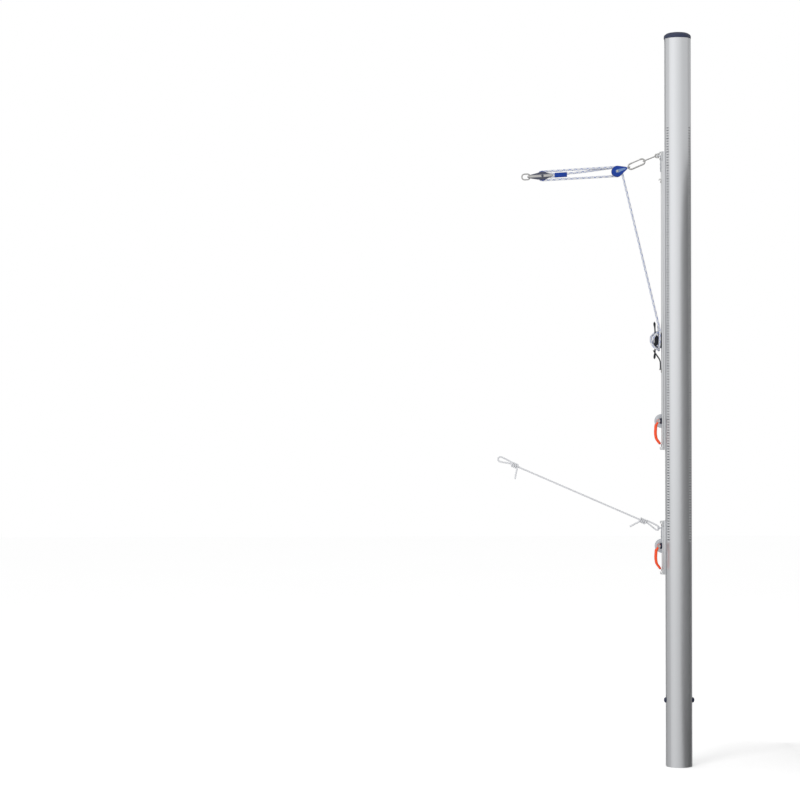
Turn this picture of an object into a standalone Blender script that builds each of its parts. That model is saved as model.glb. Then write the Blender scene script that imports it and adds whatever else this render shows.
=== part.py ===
"""Volleyball net post with its two height sliders, lever clamps and rope tackle.

The post stands on +Z with its tube axis at X = Y = 0 and its foot at Z = 0.
The net side is -X, and the front, which carries the scales, is -Y.
All sizes are in metres and are written as millimetres times MM.
"""
import math

import bmesh
import bpy
from mathutils import Matrix, Vector

MM = 0.001
FIT = 0.3 * MM              # clearance between touching pieces
ARC_STEP = math.radians(7.5)  # longest step round an arc

# Post profile
TUBE_DIAMETER = 100 * MM
TUBE_WALL = 3 * MM
TUBE_LENGTH = 2726 * MM
LAND_WIDTH = 30 * MM        # flat that the sliders run on
SLOT_MOUTH = 12 * MM
SLOT_LIP = 3.5 * MM
SLOT_WIDTH = 22 * MM
SLOT_DEPTH = 8 * MM
SLOT_WALL = 2.5 * MM
GROOVE_ANGLE = math.radians(35)  # scale groove, from the X axis
GROOVE_WIDTH = 14 * MM
GROOVE_DEPTH = 0.8 * MM
TAPE_THICKNESS = 0.4 * MM
SCALE_BOTTOM = 843 * MM
SCALE_TOP = 2396 * MM

# Cap and foot plug
CAP_HEIGHT = 24 * MM
CAP_OVERHANG = 0.6 * MM
CAP_PLUG_DEPTH = 22 * MM
CAP_TONGUE_DEPTH = 9 * MM
FOOT_PLUG_DEPTH = 20 * MM

# Depth stop in the ground sleeve
STOP_HEIGHT = 248 * MM
STOP_BOLT_DIAMETER = 10 * MM
STOP_HEAD_DIAMETER = 20 * MM
STOP_HEAD_HEIGHT = 8 * MM
STOP_NUT_WALL = 2 * MM
STOP_RIM = 2 * MM           # straight rim below the head's dome

# Sliders
BASE_THICKNESS = 8 * MM
RAIL_THICKNESS = 5.5 * MM
RAIL_WIDTH = 26 * MM
RAIL_GROOVE_WIDTH = 10 * MM
RAIL_GROOVE_DEPTH = 1 * MM
HOOK_LENGTH = 22 * MM       # end hook, along the slider
HOOK_WIDTH = 20 * MM
HOOK_BEAK = 6.4 * MM        # how far its beak stands off the rail face
HOOK_MOUTH = 4.6 * MM
HOOK_CROWN = 4 * MM         # metal at the closed end of its mouth
HOOK_SLOPE = 1.2 * MM
HOOK_SCREW = 16.5 * MM      # from the slider's end to the screw
LONG_HOOK_LENGTH = 34 * MM  # the head hook, which the eye plate laps
LONG_HOOK_SCREW = 28 * MM
SHOE_LENGTH = 60 * MM
SHOE_END = 10 * MM          # from the slider's end to the shoe
SHOE_FLOOR = 2 * MM         # left under the screw
SLIDER_SCREW_DIAMETER = 5 * MM
SLIDER_SCREW_HEAD = 9 * MM
SCREW_HEAD_HEIGHT = 2.6 * MM
UPPER_TOP = 2304 * MM
UPPER_CLAMP = 1294 * MM
UPPER_FOOT = 108 * MM       # slider below its clamp
UPPER_BOTTOM = UPPER_CLAMP - UPPER_FOOT
LOWER_CLAMP = 826 * MM
LOWER_HEAD = 94 * MM        # slider above its clamp
LOWER_FOOT = 107 * MM
LOWER_TOP = LOWER_CLAMP + LOWER_HEAD
LOWER_BOTTOM = LOWER_CLAMP - LOWER_FOOT

# Lever clamps
CHEEK_RADIUS = 26 * MM
CHEEK_THICKNESS = 3 * MM
CHEEK_GAP = 15 * MM         # clear width between the two cheeks
BRACKET_FLOOR = 2.5 * MM
PIVOT_STANDOFF = 13.4 * MM  # pivot axis, from the rail face
PIVOT_DIAMETER = 6 * MM
PIVOT_HEAD_DIAMETER = 12 * MM
PIVOT_HEAD_HEIGHT = 2 * MM
PLUNGER_HEIGHT = 21 * MM
PLUNGER_WIDTH = 13 * MM
PLUNGER_STEM_DIAMETER = 8 * MM
PLUNGER_TRAVEL = 1.6 * MM   # taken up by the cam as the lever opens
CAM_DIAMETER = 10 * MM
HANDLE_ROD = 8 * MM
HANDLE_REACH = 84 * MM      # pivot to grip, along the post
HANDLE_BOW = 9.4 * MM       # pivot to rod, away from the post
HANDLE_TUCK = 5.4 * MM      # grip's return towards the post, from the pivot
HANDLE_EYE_DIAMETER = 13 * MM
LEVER_RANGE = math.radians(100)

# Pad eyes for the head rope and the lower cord
EYE_PLATE_THICKNESS = 2.5 * MM
EYE_PLATE_WIDTH = 18 * MM
EYE_LUG_THICKNESS = 4 * MM
EYE_STANDOFF = 10.6 * MM    # hole axis, from the rail face
EYE_WALL = 2.2 * MM
EYE_RIVET_DIAMETER = 7 * MM
EYE_RIVET_HEIGHT = 1.8 * MM
UPPER_EYE_DROP = 16 * MM    # from the slider's top to the eye
UPPER_EYE_PLATE = (-59 * MM, 3 * MM)        # the plate's ends, from the eye
UPPER_EYE_RIVETS = (-46 * MM, -32 * MM)
UPPER_EYE = UPPER_TOP - UPPER_EYE_DROP
LOWER_EYE_DROP = 27 * MM
LOWER_EYE_PLATE = (-39.5 * MM, 3.9 * MM)
LOWER_EYE_RIVETS = (-31 * MM, -16 * MM)
LOWER_EYE = LOWER_TOP - LOWER_EYE_DROP

# Side hooks for the net's side cord
SIDE_HOOK_MOUTH = 4.6 * MM
SIDE_HOOK_WIDTH = 9 * MM
SIDE_HOOK_LENGTH = 16 * MM
SIDE_HOOK_METAL = 1.8 * MM
UPPER_SIDE_HOOK_DROP = 107 * MM     # from the slider's top
UPPER_SIDE_HOOK = UPPER_TOP - UPPER_SIDE_HOOK_DROP
LOWER_SIDE_HOOK_DROP = 110 * MM     # from the cleat, where the elastic cord reaches it

# Rope cleat
CLEAT_RISE = 302 * MM       # above the upper clamp
CLEAT_HEIGHT = UPPER_CLAMP + CLEAT_RISE
LOWER_SIDE_HOOK = CLEAT_HEIGHT - LOWER_SIDE_HOOK_DROP
CLEAT_BASE_LENGTH = 58 * MM
CLEAT_BASE_WIDTH = 18 * MM
CLEAT_BASE_THICKNESS = 4 * MM
CLEAT_HORN_WIDTH = 13 * MM
CLEAT_HORN_LENGTH = 140 * MM
CLEAT_STEM_LENGTH = 30 * MM
CLEAT_STEM_FLARE = 2 * MM
CLEAT_FRONT = 25.4 * MM     # outer face, from the rail face
CLEAT_SCREW_SPACING = 44 * MM
CLEAT_SCREW_RISE = 0.4 * MM # countersunk heads, almost flush

# Chain of links from the head eye to the near block
SHACKLE_WIRE = 4.4 * MM
SHACKLE_WIDTH = 17 * MM
SHACKLE_REACH = 12 * MM      # pin axis to the bow's middle
SHACKLE_BOSS_DIAMETER = 7.6 * MM
SHACKLE_PIN_HEAD = 1.5 * MM
LINK_WIRE = 4 * MM
LINK_WIDTH = 15 * MM
CARABINER_WIRE = 6 * MM
CARABINER_WIDTH = 27 * MM
GATE_WIRE = 4.6 * MM
GATE_LENGTH = 30 * MM
GATE_HINGE_GAP = 1.5 * MM
CARABINER_START = Vector((-124 * MM, 0, 2270.5 * MM))
CARABINER_END = Vector((-184 * MM, 0, 2244.5 * MM))

# Tackle blocks and rope
ROPE_DIAMETER = 8 * MM
SHEAVE_ROPE_RADIUS = 16.3 * MM  # sheave axis to rope middle
SHEAVE_WIDTH = 10.4 * MM
SHEAVE_RIM = 1.8 * MM           # rim, beyond the rope's middle line
GROOVE_SLACK = 0.6 * MM         # between the rope and the groove
BLOCK_PLATE = 1.6 * MM
BLOCK_CHEEK = 3 * MM
BLOCK_GAP = 0.5 * MM            # running gap beside each sheave
NEAR_CHEEK_RADIUS = 20.5 * MM
NEAR_NECK = 33 * MM             # axis to the eye of the near block
NEAR_SPACER = 25 * MM           # axis to the spacer that ties the cheeks
BLOCK_EYE_RADIUS = 6 * MM
FAR_PLATE_RADIUS = 15.5 * MM
FAR_TIP = 51 * MM               # axis to the ring pin
FAR_BECKET = 33 * MM            # axis to the becket pin
BLOCK_PIN_DIAMETER = 5 * MM
BLOCK_PIN_HEAD = 9 * MM
BLOCK_PIN_HEIGHT = 1.4 * MM
BLOCK_EYE_HOLE = 5.4 * MM
NEAR_SPACER_RADIUS = 3 * MM
FAR_TIP_RADIUS = 5 * MM
FAR_PIN_DIAMETER = 4 * MM
FAR_PIN_HEAD = 7 * MM
RING_WIRE = 5 * MM
RING_WIDTH = 26 * MM
RING_LENGTH = 36 * MM
SLEEVE_LENGTH = 46 * MM
SLEEVE_HEIGHT = 18 * MM
SLEEVE_START = 46 * MM          # from the far block's axis
SLEEVE_CORNER = 5 * MM
SLEEVE_BORE_RISE = 3.6 * MM     # through bore, above the tackle's middle line
SLEEVE_STUB_DROP = 4.9 * MM     # butted rope end, below it
BECKET_SLACK = 0.8 * MM         # between the rope and the pin
SLEEVE_LEAD = 4 * MM            # straight rope beside the sleeve's faces
SHEAVE_LEAD = 14 * MM           # straight rope before and after each sheave
CORD_ARC_STEP = math.radians(15)
SKIP_ROPE = 20 * MM
SLEEVE_WIDTH = 11 * MM
NEAR_AXIS = Vector((-227 * MM, 0, 2230 * MM))
FAR_AXIS = Vector((-507 * MM, 0, 2214 * MM))
ROPE_END_DIAMETER = 8.6 * MM
ROPE_END_LENGTH = 14 * MM

# Rope turns on the cleat, in millimetres: out from the rail face, across, above the cleat's middle
WINDING_ENTRY = ((9, -13.2, 45), (7.8, -13.9, 30), (7.6, -13.9, 10), (7.9, -13.4, -6),
                 (8.6, -11.4, -19), (8.8, -6.5, -26))
WINDING_EXIT = ((9.2, 7, -37), (9, 13, -36), (8.8, 19, -28), (8.8, 19.5, -12), (8.8, 17, 5),
                (8.8, 15, 25), (9, 14, 46))
WINDING_REACH = 27          # height of the first crossing under the horn
WINDING_SPREAD = 4.4        # added at each half turn
WINDING_WIDTH = 15
WINDING_LOW = (8.8, 11.6, 9.6)
WINDING_HIGH = (31.2, 40.3)

# Lower cord
CORD_DIAMETER = 6.5 * MM
CORD_FAR_EYE = Vector((-675 * MM, 0, 1155.5 * MM))
CORD_HOLE_DIAMETER = 8 * MM
CORD_LOOP_RADIUS = 7.5 * MM
KNOT_START = 50 * MM            # from the eye to the knot's first turn
KNOT_TURNS = 3.25
KNOT_BEND = 5 * MM              # radius of the bend into the first turn
FAR_LOOP_RADIUS = 9 * MM
NEAR_TAIL_WAY = (-0.88, 0, -0.48)
FAR_TAIL_WAY = (-0.2, 0, -0.98)
TURN_GAP = 0.8 * MM             # between the knot's turns
CORE_GAP = 0.6 * MM             # between its turns and the cord inside them
TURN_STEPS = 15                 # points round each turn
CORD_TAIL = 40 * MM

# Elastic cord that keeps the rope on its cleat
SHOCK_CORD_DIAMETER = 3.4 * MM
# In millimetres from the cleat's middle, as the rope turns are
STOW_ROUTE = ((4.1, 0, -108.7), (4.1, 5, -108.5), (4.1, 7.8, -105), (4.1, 8.4, -90), (5, 8.6, -78),
              (16, 8.9, -58), (26.5, 8.9, -43), (29, 7, -38.8), (29.8, 3.6, -38), (29.8, 0, -38))


def clear_scene():
    for item in list(bpy.data.objects):
        bpy.data.objects.remove(item, do_unlink=True)


def material(name, colour, roughness, metallic):
    """One Principled material, made once and then shared."""
    found = bpy.data.materials.get(name)
    if found:
        return found
    made = bpy.data.materials.new(name)
    made.use_nodes = True
    shader = made.node_tree.nodes["Principled BSDF"]
    shader.inputs["Base Color"].default_value = (*colour, 1)
    shader.inputs["Roughness"].default_value = roughness
    shader.inputs["Metallic"].default_value = metallic
    return made


def anodised():
    return material("anodised_aluminium", (0.72, 0.73, 0.74), 0.38, 0.9)


def bright_aluminium():
    return material("bright_aluminium", (0.80, 0.81, 0.82), 0.32, 0.9)


def stainless():
    return material("stainless_steel", (0.66, 0.66, 0.67), 0.25, 1.0)


def zinc():
    return material("zinc_plated_steel", (0.58, 0.59, 0.62), 0.4, 0.9)


def navy_plastic():
    return material("navy_plastic", (0.012, 0.02, 0.055), 0.45, 0.0)


def black_plastic():
    return material("black_plastic", (0.015, 0.016, 0.02), 0.5, 0.0)


def slide_plastic():
    return material("slide_plastic", (0.06, 0.06, 0.065), 0.55, 0.0)


def blue_plastic():
    return material("blue_plastic", (0.015, 0.055, 0.36), 0.4, 0.0)


def orange_coat():
    return material("orange_coat", (1.0, 0.085, 0.006), 0.4, 0.0)


def tape_film():
    return material("scale_film", (0.66, 0.67, 0.68), 0.5, 0.0)


def rope_fibre():
    return material("rope_fibre", (0.82, 0.83, 0.86), 0.85, 0.0)


def shock_cord_cover():
    return material("shock_cord_cover", (0.03, 0.03, 0.035), 0.8, 0.0)


def frame_at(origin, along_u, along_v):
    """Matrix from a local (u, v, w) frame to the world, w square to both."""
    u = Vector(along_u).normalized()
    w = u.cross(Vector(along_v)).normalized()
    v = w.cross(u)
    turned = Matrix((u, v, w)).transposed().to_4x4()
    return Matrix.Translation(Vector(origin)) @ turned


def side_frame(y=0.0):
    """Local u is +X, v is +Z and w is -Y, so that outlines are drawn as seen from the front."""
    return frame_at((0, y, 0), (1, 0, 0), (0, 0, 1))


def flat_frame(z=0.0):
    """Local u is +X, v is +Y and w is +Z."""
    return Matrix.Translation((0, 0, z))


def net_frame(x=0.0):
    """Local u is -Y, v is +Z and w is -X, out of the land towards the net."""
    return frame_at((x, 0, 0), (0, -1, 0), (0, 0, 1))


def arc(centre, radius, start, end):
    """Points round an arc, both ends included."""
    steps = max(2, math.ceil(abs(end - start) / ARC_STEP - 1e-6))
    points = []
    for i in range(steps + 1):
        angle = start + (end - start) * i / steps
        points.append((centre[0] + radius * math.cos(angle), centre[1] + radius * math.sin(angle)))
    return points


def circle(centre, radius, steps=24):
    return [(centre[0] + radius * math.cos(math.tau * i / steps),
             centre[1] + radius * math.sin(math.tau * i / steps)) for i in range(steps)]


def rectangle(low, high):
    return [(low[0], low[1]), (high[0], low[1]), (high[0], high[1]), (low[0], high[1])]


def build_object(name, bm, mat, sharp=math.radians(35)):
    """A smooth shaded object from a bmesh, with its sharp edges kept."""
    mesh = bpy.data.meshes.new(name)
    bm.to_mesh(mesh)
    bm.free()
    mesh.shade_smooth()
    mesh.set_sharp_from_angle(angle=sharp)
    mesh.materials.append(mat)
    made = bpy.data.objects.new(name, mesh)
    bpy.context.scene.collection.objects.link(made)
    return made


def prism(outline, low, high, frame, holes=()):
    """A closed solid from an outline with holes, from w = low to w = high."""
    bm = bmesh.new()
    cap_edges = {low: [], high: []}
    for loop in [outline, *holes]:
        rings = {}
        for level in (low, high):
            ring = [bm.verts.new((u, v, level)) for u, v in loop]
            cap_edges[level] += [bm.edges.new((ring[i - 1], ring[i])) for i in range(len(ring))]
            rings[level] = ring
        for i in range(len(loop)):
            bm.faces.new((rings[low][i - 1], rings[low][i], rings[high][i], rings[high][i - 1]))
    for level in (low, high):
        bmesh.ops.triangle_fill(bm, use_beauty=True, edges=cap_edges[level])
    bmesh.ops.recalc_face_normals(bm, faces=bm.faces)
    bm.transform(frame)
    return bm


def turned(profile, frame, steps=32):
    """A solid of revolution about local w from (radius, height) points.

    A profile that starts and ends on the axis is closed there. Any other profile is a ring.
    """
    bm = bmesh.new()
    rings = []
    for radius, height in profile:
        if radius == 0:
            rings.append([bm.verts.new((0, 0, height))])
            continue
        rings.append([bm.verts.new((radius * math.cos(math.tau * i / steps),
                                    radius * math.sin(math.tau * i / steps), height))
                      for i in range(steps)])
    on_axis = profile[0][0] == 0 and profile[-1][0] == 0
    pairs = list(zip(rings, rings[1:]))
    if not on_axis:
        pairs.append((rings[-1], rings[0]))
    for first, second in pairs:
        for i in range(steps):
            corners = [first[i % len(first)], first[(i + 1) % len(first)],
                       second[(i + 1) % len(second)], second[i % len(second)]]
            corners = list(dict.fromkeys(corners))
            if len(corners) > 2:
                bm.faces.new(corners)
    bmesh.ops.recalc_face_normals(bm, faces=bm.faces)
    bm.transform(frame)
    return bm


def rod(radius, low, high):
    """Profile of a plain rod along w."""
    return [(0, low), (radius, low), (radius, high), (0, high)]


def tube_along(name, points, diameter, mat, closed=False, resolution=2):
    """A round cord or wire along points, with filled ends."""
    curve = bpy.data.curves.new(name, "CURVE")
    curve.dimensions = "3D"
    curve.bevel_depth = diameter / 2
    curve.bevel_resolution = resolution
    curve.use_fill_caps = not closed
    spline = curve.splines.new("POLY")
    spline.points.add(len(points) - 1)
    for spot, point in zip(spline.points, points):
        spot.co = (*point, 1)
    spline.use_cyclic_u = closed
    spline.use_smooth = True
    curve.materials.append(mat)
    made = bpy.data.objects.new(name, curve)
    bpy.context.scene.collection.objects.link(made)
    return made


def boolean(target, operation, tool_mesh):
    """Cut or join target with a hidden tool solid."""
    label = f"tool_{target.name}_{len(target.modifiers)}"
    tool = build_object(label, tool_mesh, target.active_material)
    tool.hide_render = True
    tool.display_type = "WIRE"
    tool.hide_viewport = True
    step = target.modifiers.new(operation.lower(), "BOOLEAN")
    step.operation = operation
    step.solver = "EXACT"
    step.object = tool
    return target


def least_gap(points, diameter, skip):
    """Smallest gap between stretches of one cord, more than skip apart along it."""
    spots = []
    run = 0.0
    for first, second in zip(points, points[1:]):
        length = (second - first).length
        count = max(1, round(length / MM))
        for i in range(count):
            spots.append((run + length * i / count, first.lerp(second, i / count)))
        run += length
    nearest = math.inf
    for i, (here, spot) in enumerate(spots):
        for there, other in spots[i + 1:]:
            if there - here > skip:
                nearest = min(nearest, (spot - other).length)
    return nearest - diameter


def path_length(points):
    return sum((second - first).length for first, second in zip(points, points[1:]))


TUBE_RADIUS = TUBE_DIAMETER / 2
BORE_RADIUS = TUBE_RADIUS - TUBE_WALL
LAND_X = -math.sqrt(TUBE_RADIUS ** 2 - (LAND_WIDTH / 2) ** 2)
SLOT_TOP_X = LAND_X + SLOT_LIP
SLOT_FLOOR_X = SLOT_TOP_X + SLOT_DEPTH
CHANNEL_X = SLOT_FLOOR_X + SLOT_WALL
BASE_FACE_X = LAND_X - FIT - BASE_THICKNESS
RAIL_FACE_X = BASE_FACE_X - FIT - RAIL_THICKNESS
PIVOT_X = RAIL_FACE_X - PIVOT_STANDOFF
EYE_X = RAIL_FACE_X - FIT - EYE_STANDOFF


def half_outline(side):
    """Outline of half the profile, side -1 at the front and 1 at the back.

    It runs from the slot's mouth round to the back of the post, with two of the shallow
    grooves, and returns inside to the slot's side wall.
    """
    land = math.asin(LAND_WIDTH / TUBE_DIAMETER)
    half = math.asin(GROOVE_WIDTH / TUBE_DIAMETER)
    inner = SLOT_WIDTH / 2
    outer = inner + SLOT_WALL
    points = [(LAND_X, -SLOT_MOUTH / 2)]
    turn = math.pi + land
    for middle in (math.pi + GROOVE_ANGLE, math.tau - GROOVE_ANGLE):
        points += arc((0, 0), TUBE_RADIUS, turn, middle - half)
        points += arc((0, 0), TUBE_RADIUS - GROOVE_DEPTH, middle - half, middle + half)
        turn = middle + half
    points += arc((0, 0), TUBE_RADIUS, turn, math.tau - FIT / TUBE_DIAMETER)
    points += arc((0, 0), BORE_RADIUS, math.tau - FIT / BORE_RADIUS / 2,
                  math.pi + math.asin(outer / BORE_RADIUS))
    points += [(CHANNEL_X, -outer), (CHANNEL_X, -inner), (SLOT_TOP_X, -inner),
               (SLOT_TOP_X, -SLOT_MOUTH / 2)]
    if side < 0:
        return points
    return [(x, -y) for x, y in reversed(points)]


def bore_outline(clearance=0.0):
    """Inner outline of the profile, beside the slot's channel."""
    radius = BORE_RADIUS - clearance
    side = SLOT_WIDTH / 2 + SLOT_WALL + clearance
    corner = math.asin(side / radius)
    points = arc((0, 0), radius, math.pi + corner, math.tau + math.pi - corner)
    return points + [(CHANNEL_X + clearance, side), (CHANNEL_X + clearance, -side)]


def along_x(z, x=0.0):
    """Local w is +X, at height z."""
    return frame_at((x, 0, z), (0, 1, 0), (0, 0, 1))


def make_profile():
    """The extruded profile, in two halves and the floor between them, so that its slot stays open."""
    inner = SLOT_WIDTH / 2 - FIT
    strips = (("profile_front", half_outline(-1)), ("profile_back", half_outline(1)),
              ("slot_floor", rectangle((SLOT_FLOOR_X, -inner), (CHANNEL_X, inner))))
    bolt_hole = STOP_BOLT_DIAMETER / 2 + FIT
    ends = (SLOT_TOP_X + SLOT_DEPTH / 2, TUBE_RADIUS + 5 * FIT)
    for name, outline in strips:
        strip = build_object(name, prism(outline, 0, TUBE_LENGTH, flat_frame()), anodised())
        boolean(strip, "DIFFERENCE", turned(rod(bolt_hole, *ends), along_x(STOP_HEIGHT), 24))


def make_post():
    make_profile()
    cap_radius = TUBE_RADIUS + CAP_OVERHANG
    dome = [(0, 0), (cap_radius, 0), (cap_radius, 0.16 * CAP_HEIGHT)]
    shoulder = 0.42 * CAP_HEIGHT
    for i in range(1, 5):
        angle = math.radians(22.5 * i)
        dome.append((cap_radius - shoulder * (1 - math.cos(angle)),
                     0.16 * CAP_HEIGHT + shoulder * math.sin(angle)))
    crown_radius = cap_radius - shoulder
    crown = CAP_HEIGHT - 0.16 * CAP_HEIGHT - shoulder
    for i in range(1, 4):
        angle = math.radians(30 * i)
        dome.append((crown_radius * math.cos(angle) if i < 3 else 0,
                     CAP_HEIGHT - crown + crown * math.sin(angle)))
    cap = build_object("top_cap", turned(dome, flat_frame(TUBE_LENGTH + FIT), 40), navy_plastic())
    plug_hole = circle((0, 0), BORE_RADIUS / 2)
    boolean(cap, "UNION", prism(bore_outline(FIT), -CAP_PLUG_DEPTH, 2 * FIT,
                                flat_frame(TUBE_LENGTH + FIT), [plug_hole]))
    tongue = SLOT_MOUTH / 2 - FIT
    inner = SLOT_WIDTH / 2 - FIT
    tee = [(LAND_X, -tongue), (SLOT_TOP_X + FIT, -tongue), (SLOT_TOP_X + FIT, -inner),
           (SLOT_FLOOR_X - FIT, -inner), (SLOT_FLOOR_X - FIT, inner), (SLOT_TOP_X + FIT, inner),
           (SLOT_TOP_X + FIT, tongue), (LAND_X, tongue)]
    boolean(cap, "UNION", prism(tee, -CAP_TONGUE_DEPTH, 2 * FIT, flat_frame(TUBE_LENGTH + FIT)))

    build_object("foot_plug", prism(bore_outline(FIT), 0, FOOT_PLUG_DEPTH, flat_frame()),
                 black_plastic())

    half = math.asin(GROOVE_WIDTH / TUBE_DIAMETER) - FIT / TUBE_RADIUS
    floor = TUBE_RADIUS - GROOVE_DEPTH + FIT
    for name, middle in (("scale_net_side", math.pi + GROOVE_ANGLE),
                         ("scale_far_side", math.tau - GROOVE_ANGLE)):
        strip = arc((0, 0), floor, middle - half, middle + half)
        strip += arc((0, 0), floor + TAPE_THICKNESS, middle + half, middle - half)
        build_object(name, prism(strip, SCALE_BOTTOM, SCALE_TOP, flat_frame()), tape_film())

    head = STOP_HEAD_DIAMETER / 2
    shank = STOP_BOLT_DIAMETER / 2
    bolt = [(0, LAND_X - FIT - STOP_HEAD_HEIGHT)]
    for i in range(1, 5):
        angle = math.radians(18 * i)
        bolt.append((head * math.sin(angle),
                     LAND_X - FIT - STOP_RIM - (STOP_HEAD_HEIGHT - STOP_RIM) * math.cos(angle)))
    bolt += [(head, LAND_X - FIT - STOP_RIM), (head, LAND_X - FIT), (shank, LAND_X - FIT),
             (shank, TUBE_RADIUS + FIT + STOP_HEAD_HEIGHT - STOP_NUT_WALL - FIT),
             (0, TUBE_RADIUS + FIT + STOP_HEAD_HEIGHT - STOP_NUT_WALL - FIT)]
    build_object("stop_bolt", turned(bolt, along_x(STOP_HEIGHT), 24), navy_plastic())
    seat = TUBE_RADIUS + FIT
    blind = seat + STOP_HEAD_HEIGHT - STOP_NUT_WALL
    dome = STOP_HEAD_HEIGHT - STOP_RIM
    nut = [(0, blind), (shank + FIT, blind), (shank + FIT, seat), (head, seat), (head, seat + STOP_RIM)]
    for i in range(4, 0, -1):
        angle = math.radians(18 * i)
        nut.append((head * math.sin(angle), seat + STOP_RIM + dome * math.cos(angle)))
    nut.append((0, seat + STOP_HEAD_HEIGHT))
    build_object("stop_nut", turned(nut, along_x(STOP_HEIGHT), 24), navy_plastic())


def screw(name, face_x, tip_x, z):
    """A button-head screw that enters from the net side, its head seated on face_x."""
    head = SLIDER_SCREW_HEAD / 2
    shank = SLIDER_SCREW_DIAMETER / 2
    seat = -face_x
    top = seat + SCREW_HEAD_HEIGHT
    profile = [(0, -tip_x), (shank, -tip_x), (shank, seat), (head, seat),
               (head, seat + 0.35 * SCREW_HEAD_HEIGHT), (0.82 * head, seat + 0.8 * SCREW_HEAD_HEIGHT),
               (0.66 * head, top), (0.5 * head, top), (0.5 * head, seat + 0.45 * SCREW_HEAD_HEIGHT),
               (0, seat + 0.45 * SCREW_HEAD_HEIGHT)]
    return build_object(name, turned(profile, net_frame() @ Matrix.Translation((0, z, 0)), 16), stainless())


def lift(z, y=0.0):
    """Shift in a net_frame, to height z."""
    return Matrix.Translation((-y, z, 0))


def set_origin(item, origin):
    """Put an object's origin on its joint without moving its shape."""
    item.data.transform(Matrix.Translation(-Vector(origin)))
    item.location = origin


def slider(prefix, bottom, top, clamp_z, long_top_hook):
    """Base bar, rail, end hooks and slot shoes of one slider, with their screws."""
    base_plane = LAND_X - FIT
    rail_plane = BASE_FACE_X - FIT
    over = RAIL_THICKNESS / 2
    top_length = LONG_HOOK_LENGTH if long_top_hook else HOOK_LENGTH
    top_screw = LONG_HOOK_SCREW if long_top_hook else HOOK_SCREW
    stem_hole = PLUNGER_STEM_DIAMETER / 2 + FIT
    screw_hole = SLIDER_SCREW_DIAMETER / 2 + FIT
    bar = rectangle((-LAND_WIDTH / 2, bottom), (LAND_WIDTH / 2, top))
    holes = [circle((0, clamp_z), stem_hole, 24), circle((0, bottom + HOOK_SCREW), screw_hole, 16),
             circle((0, top - top_screw), screw_hole, 16)]
    build_object(f"{prefix}_base_bar", prism(bar, 0, BASE_THICKNESS, net_frame(base_plane), holes),
                 anodised())

    half = RAIL_WIDTH / 2
    groove = RAIL_GROOVE_WIDTH / 2
    floor = RAIL_THICKNESS - RAIL_GROOVE_DEPTH
    section = [(-half, 0), (half, 0), (half, RAIL_THICKNESS), (groove, RAIL_THICKNESS),
               (groove, floor), (-groove, floor), (-groove, RAIL_THICKNESS), (-half, RAIL_THICKNESS)]
    rail = build_object(f"{prefix}_rail",
                        prism(section, bottom + HOOK_LENGTH + FIT, top - top_length - FIT,
                              frame_at((rail_plane, 0, 0), (0, 1, 0), (-1, 0, 0))),
                        bright_aluminium())
    boolean(rail, "DIFFERENCE",
            turned(rod(stem_hole, -over, RAIL_THICKNESS + over), net_frame(rail_plane) @ lift(clamp_z), 24))

    mouth = SLOT_MOUTH / 2 - FIT
    inner = SLOT_WIDTH / 2 - FIT
    depth = SLOT_LIP + SLOT_DEPTH - SHOE_FLOOR
    tee = [(0, -mouth), (SLOT_LIP + FIT, -mouth), (SLOT_LIP + FIT, -inner),
           (SLOT_LIP + SLOT_DEPTH - FIT, -inner)]
    tee += [(x, -y) for x, y in reversed(tee)]
    for end, z, inward, length, inset in (("bottom", bottom, 1, HOOK_LENGTH, HOOK_SCREW),
                                          ("top", top, -1, top_length, top_screw)):
        screw_z = z + inward * inset
        near = z + inward * SHOE_END
        far = near + inward * SHOE_LENGTH
        in_slot = Matrix.Translation((LAND_X, 0, 0))
        shoe = build_object(f"{prefix}_{end}_shoe",
                            prism(tee, min(near, far), max(near, far), in_slot), slide_plastic())
        boolean(shoe, "DIFFERENCE",
                turned(rod(screw_hole, -depth, over), net_frame(LAND_X) @ lift(screw_z), 16))
        end_hook(f"{prefix}_{end}_hook", z, inward, length, screw_z)
        lap = EYE_PLATE_THICKNESS + FIT if length > HOOK_LENGTH else 0
        screw(f"{prefix}_{end}_screw", RAIL_FACE_X - lap - FIT, LAND_X + depth - FIT, screw_z)


def end_hook(name, end, inward, length, screw_z):
    """A cast hook on a slider's end, its beak pointing back along the slider."""
    foot = BASE_FACE_X - FIT
    beak = RAIL_FACE_X - HOOK_BEAK
    throat = RAIL_FACE_X - HOOK_MOUTH
    tip = HOOK_CROWN + HOOK_BEAK
    outline = [(foot, 0), (RAIL_FACE_X + HOOK_SLOPE, 0), (beak, HOOK_CROWN - HOOK_SLOPE), (beak, tip),
               (throat, tip), (throat, HOOK_CROWN), (RAIL_FACE_X, HOOK_CROWN), (RAIL_FACE_X, length),
               (foot, length)]
    placed = [(x, end + inward * along) for x, along in outline]
    hook = build_object(name, prism(placed, -HOOK_WIDTH / 2, HOOK_WIDTH / 2, side_frame()),
                        bright_aluminium())
    boolean(hook, "DIFFERENCE",
            turned(rod(SLIDER_SCREW_DIAMETER / 2 + FIT, -RAIL_THICKNESS / 2, 1.5 * RAIL_THICKNESS),
                   net_frame(foot) @ lift(screw_z), 16))


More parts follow.
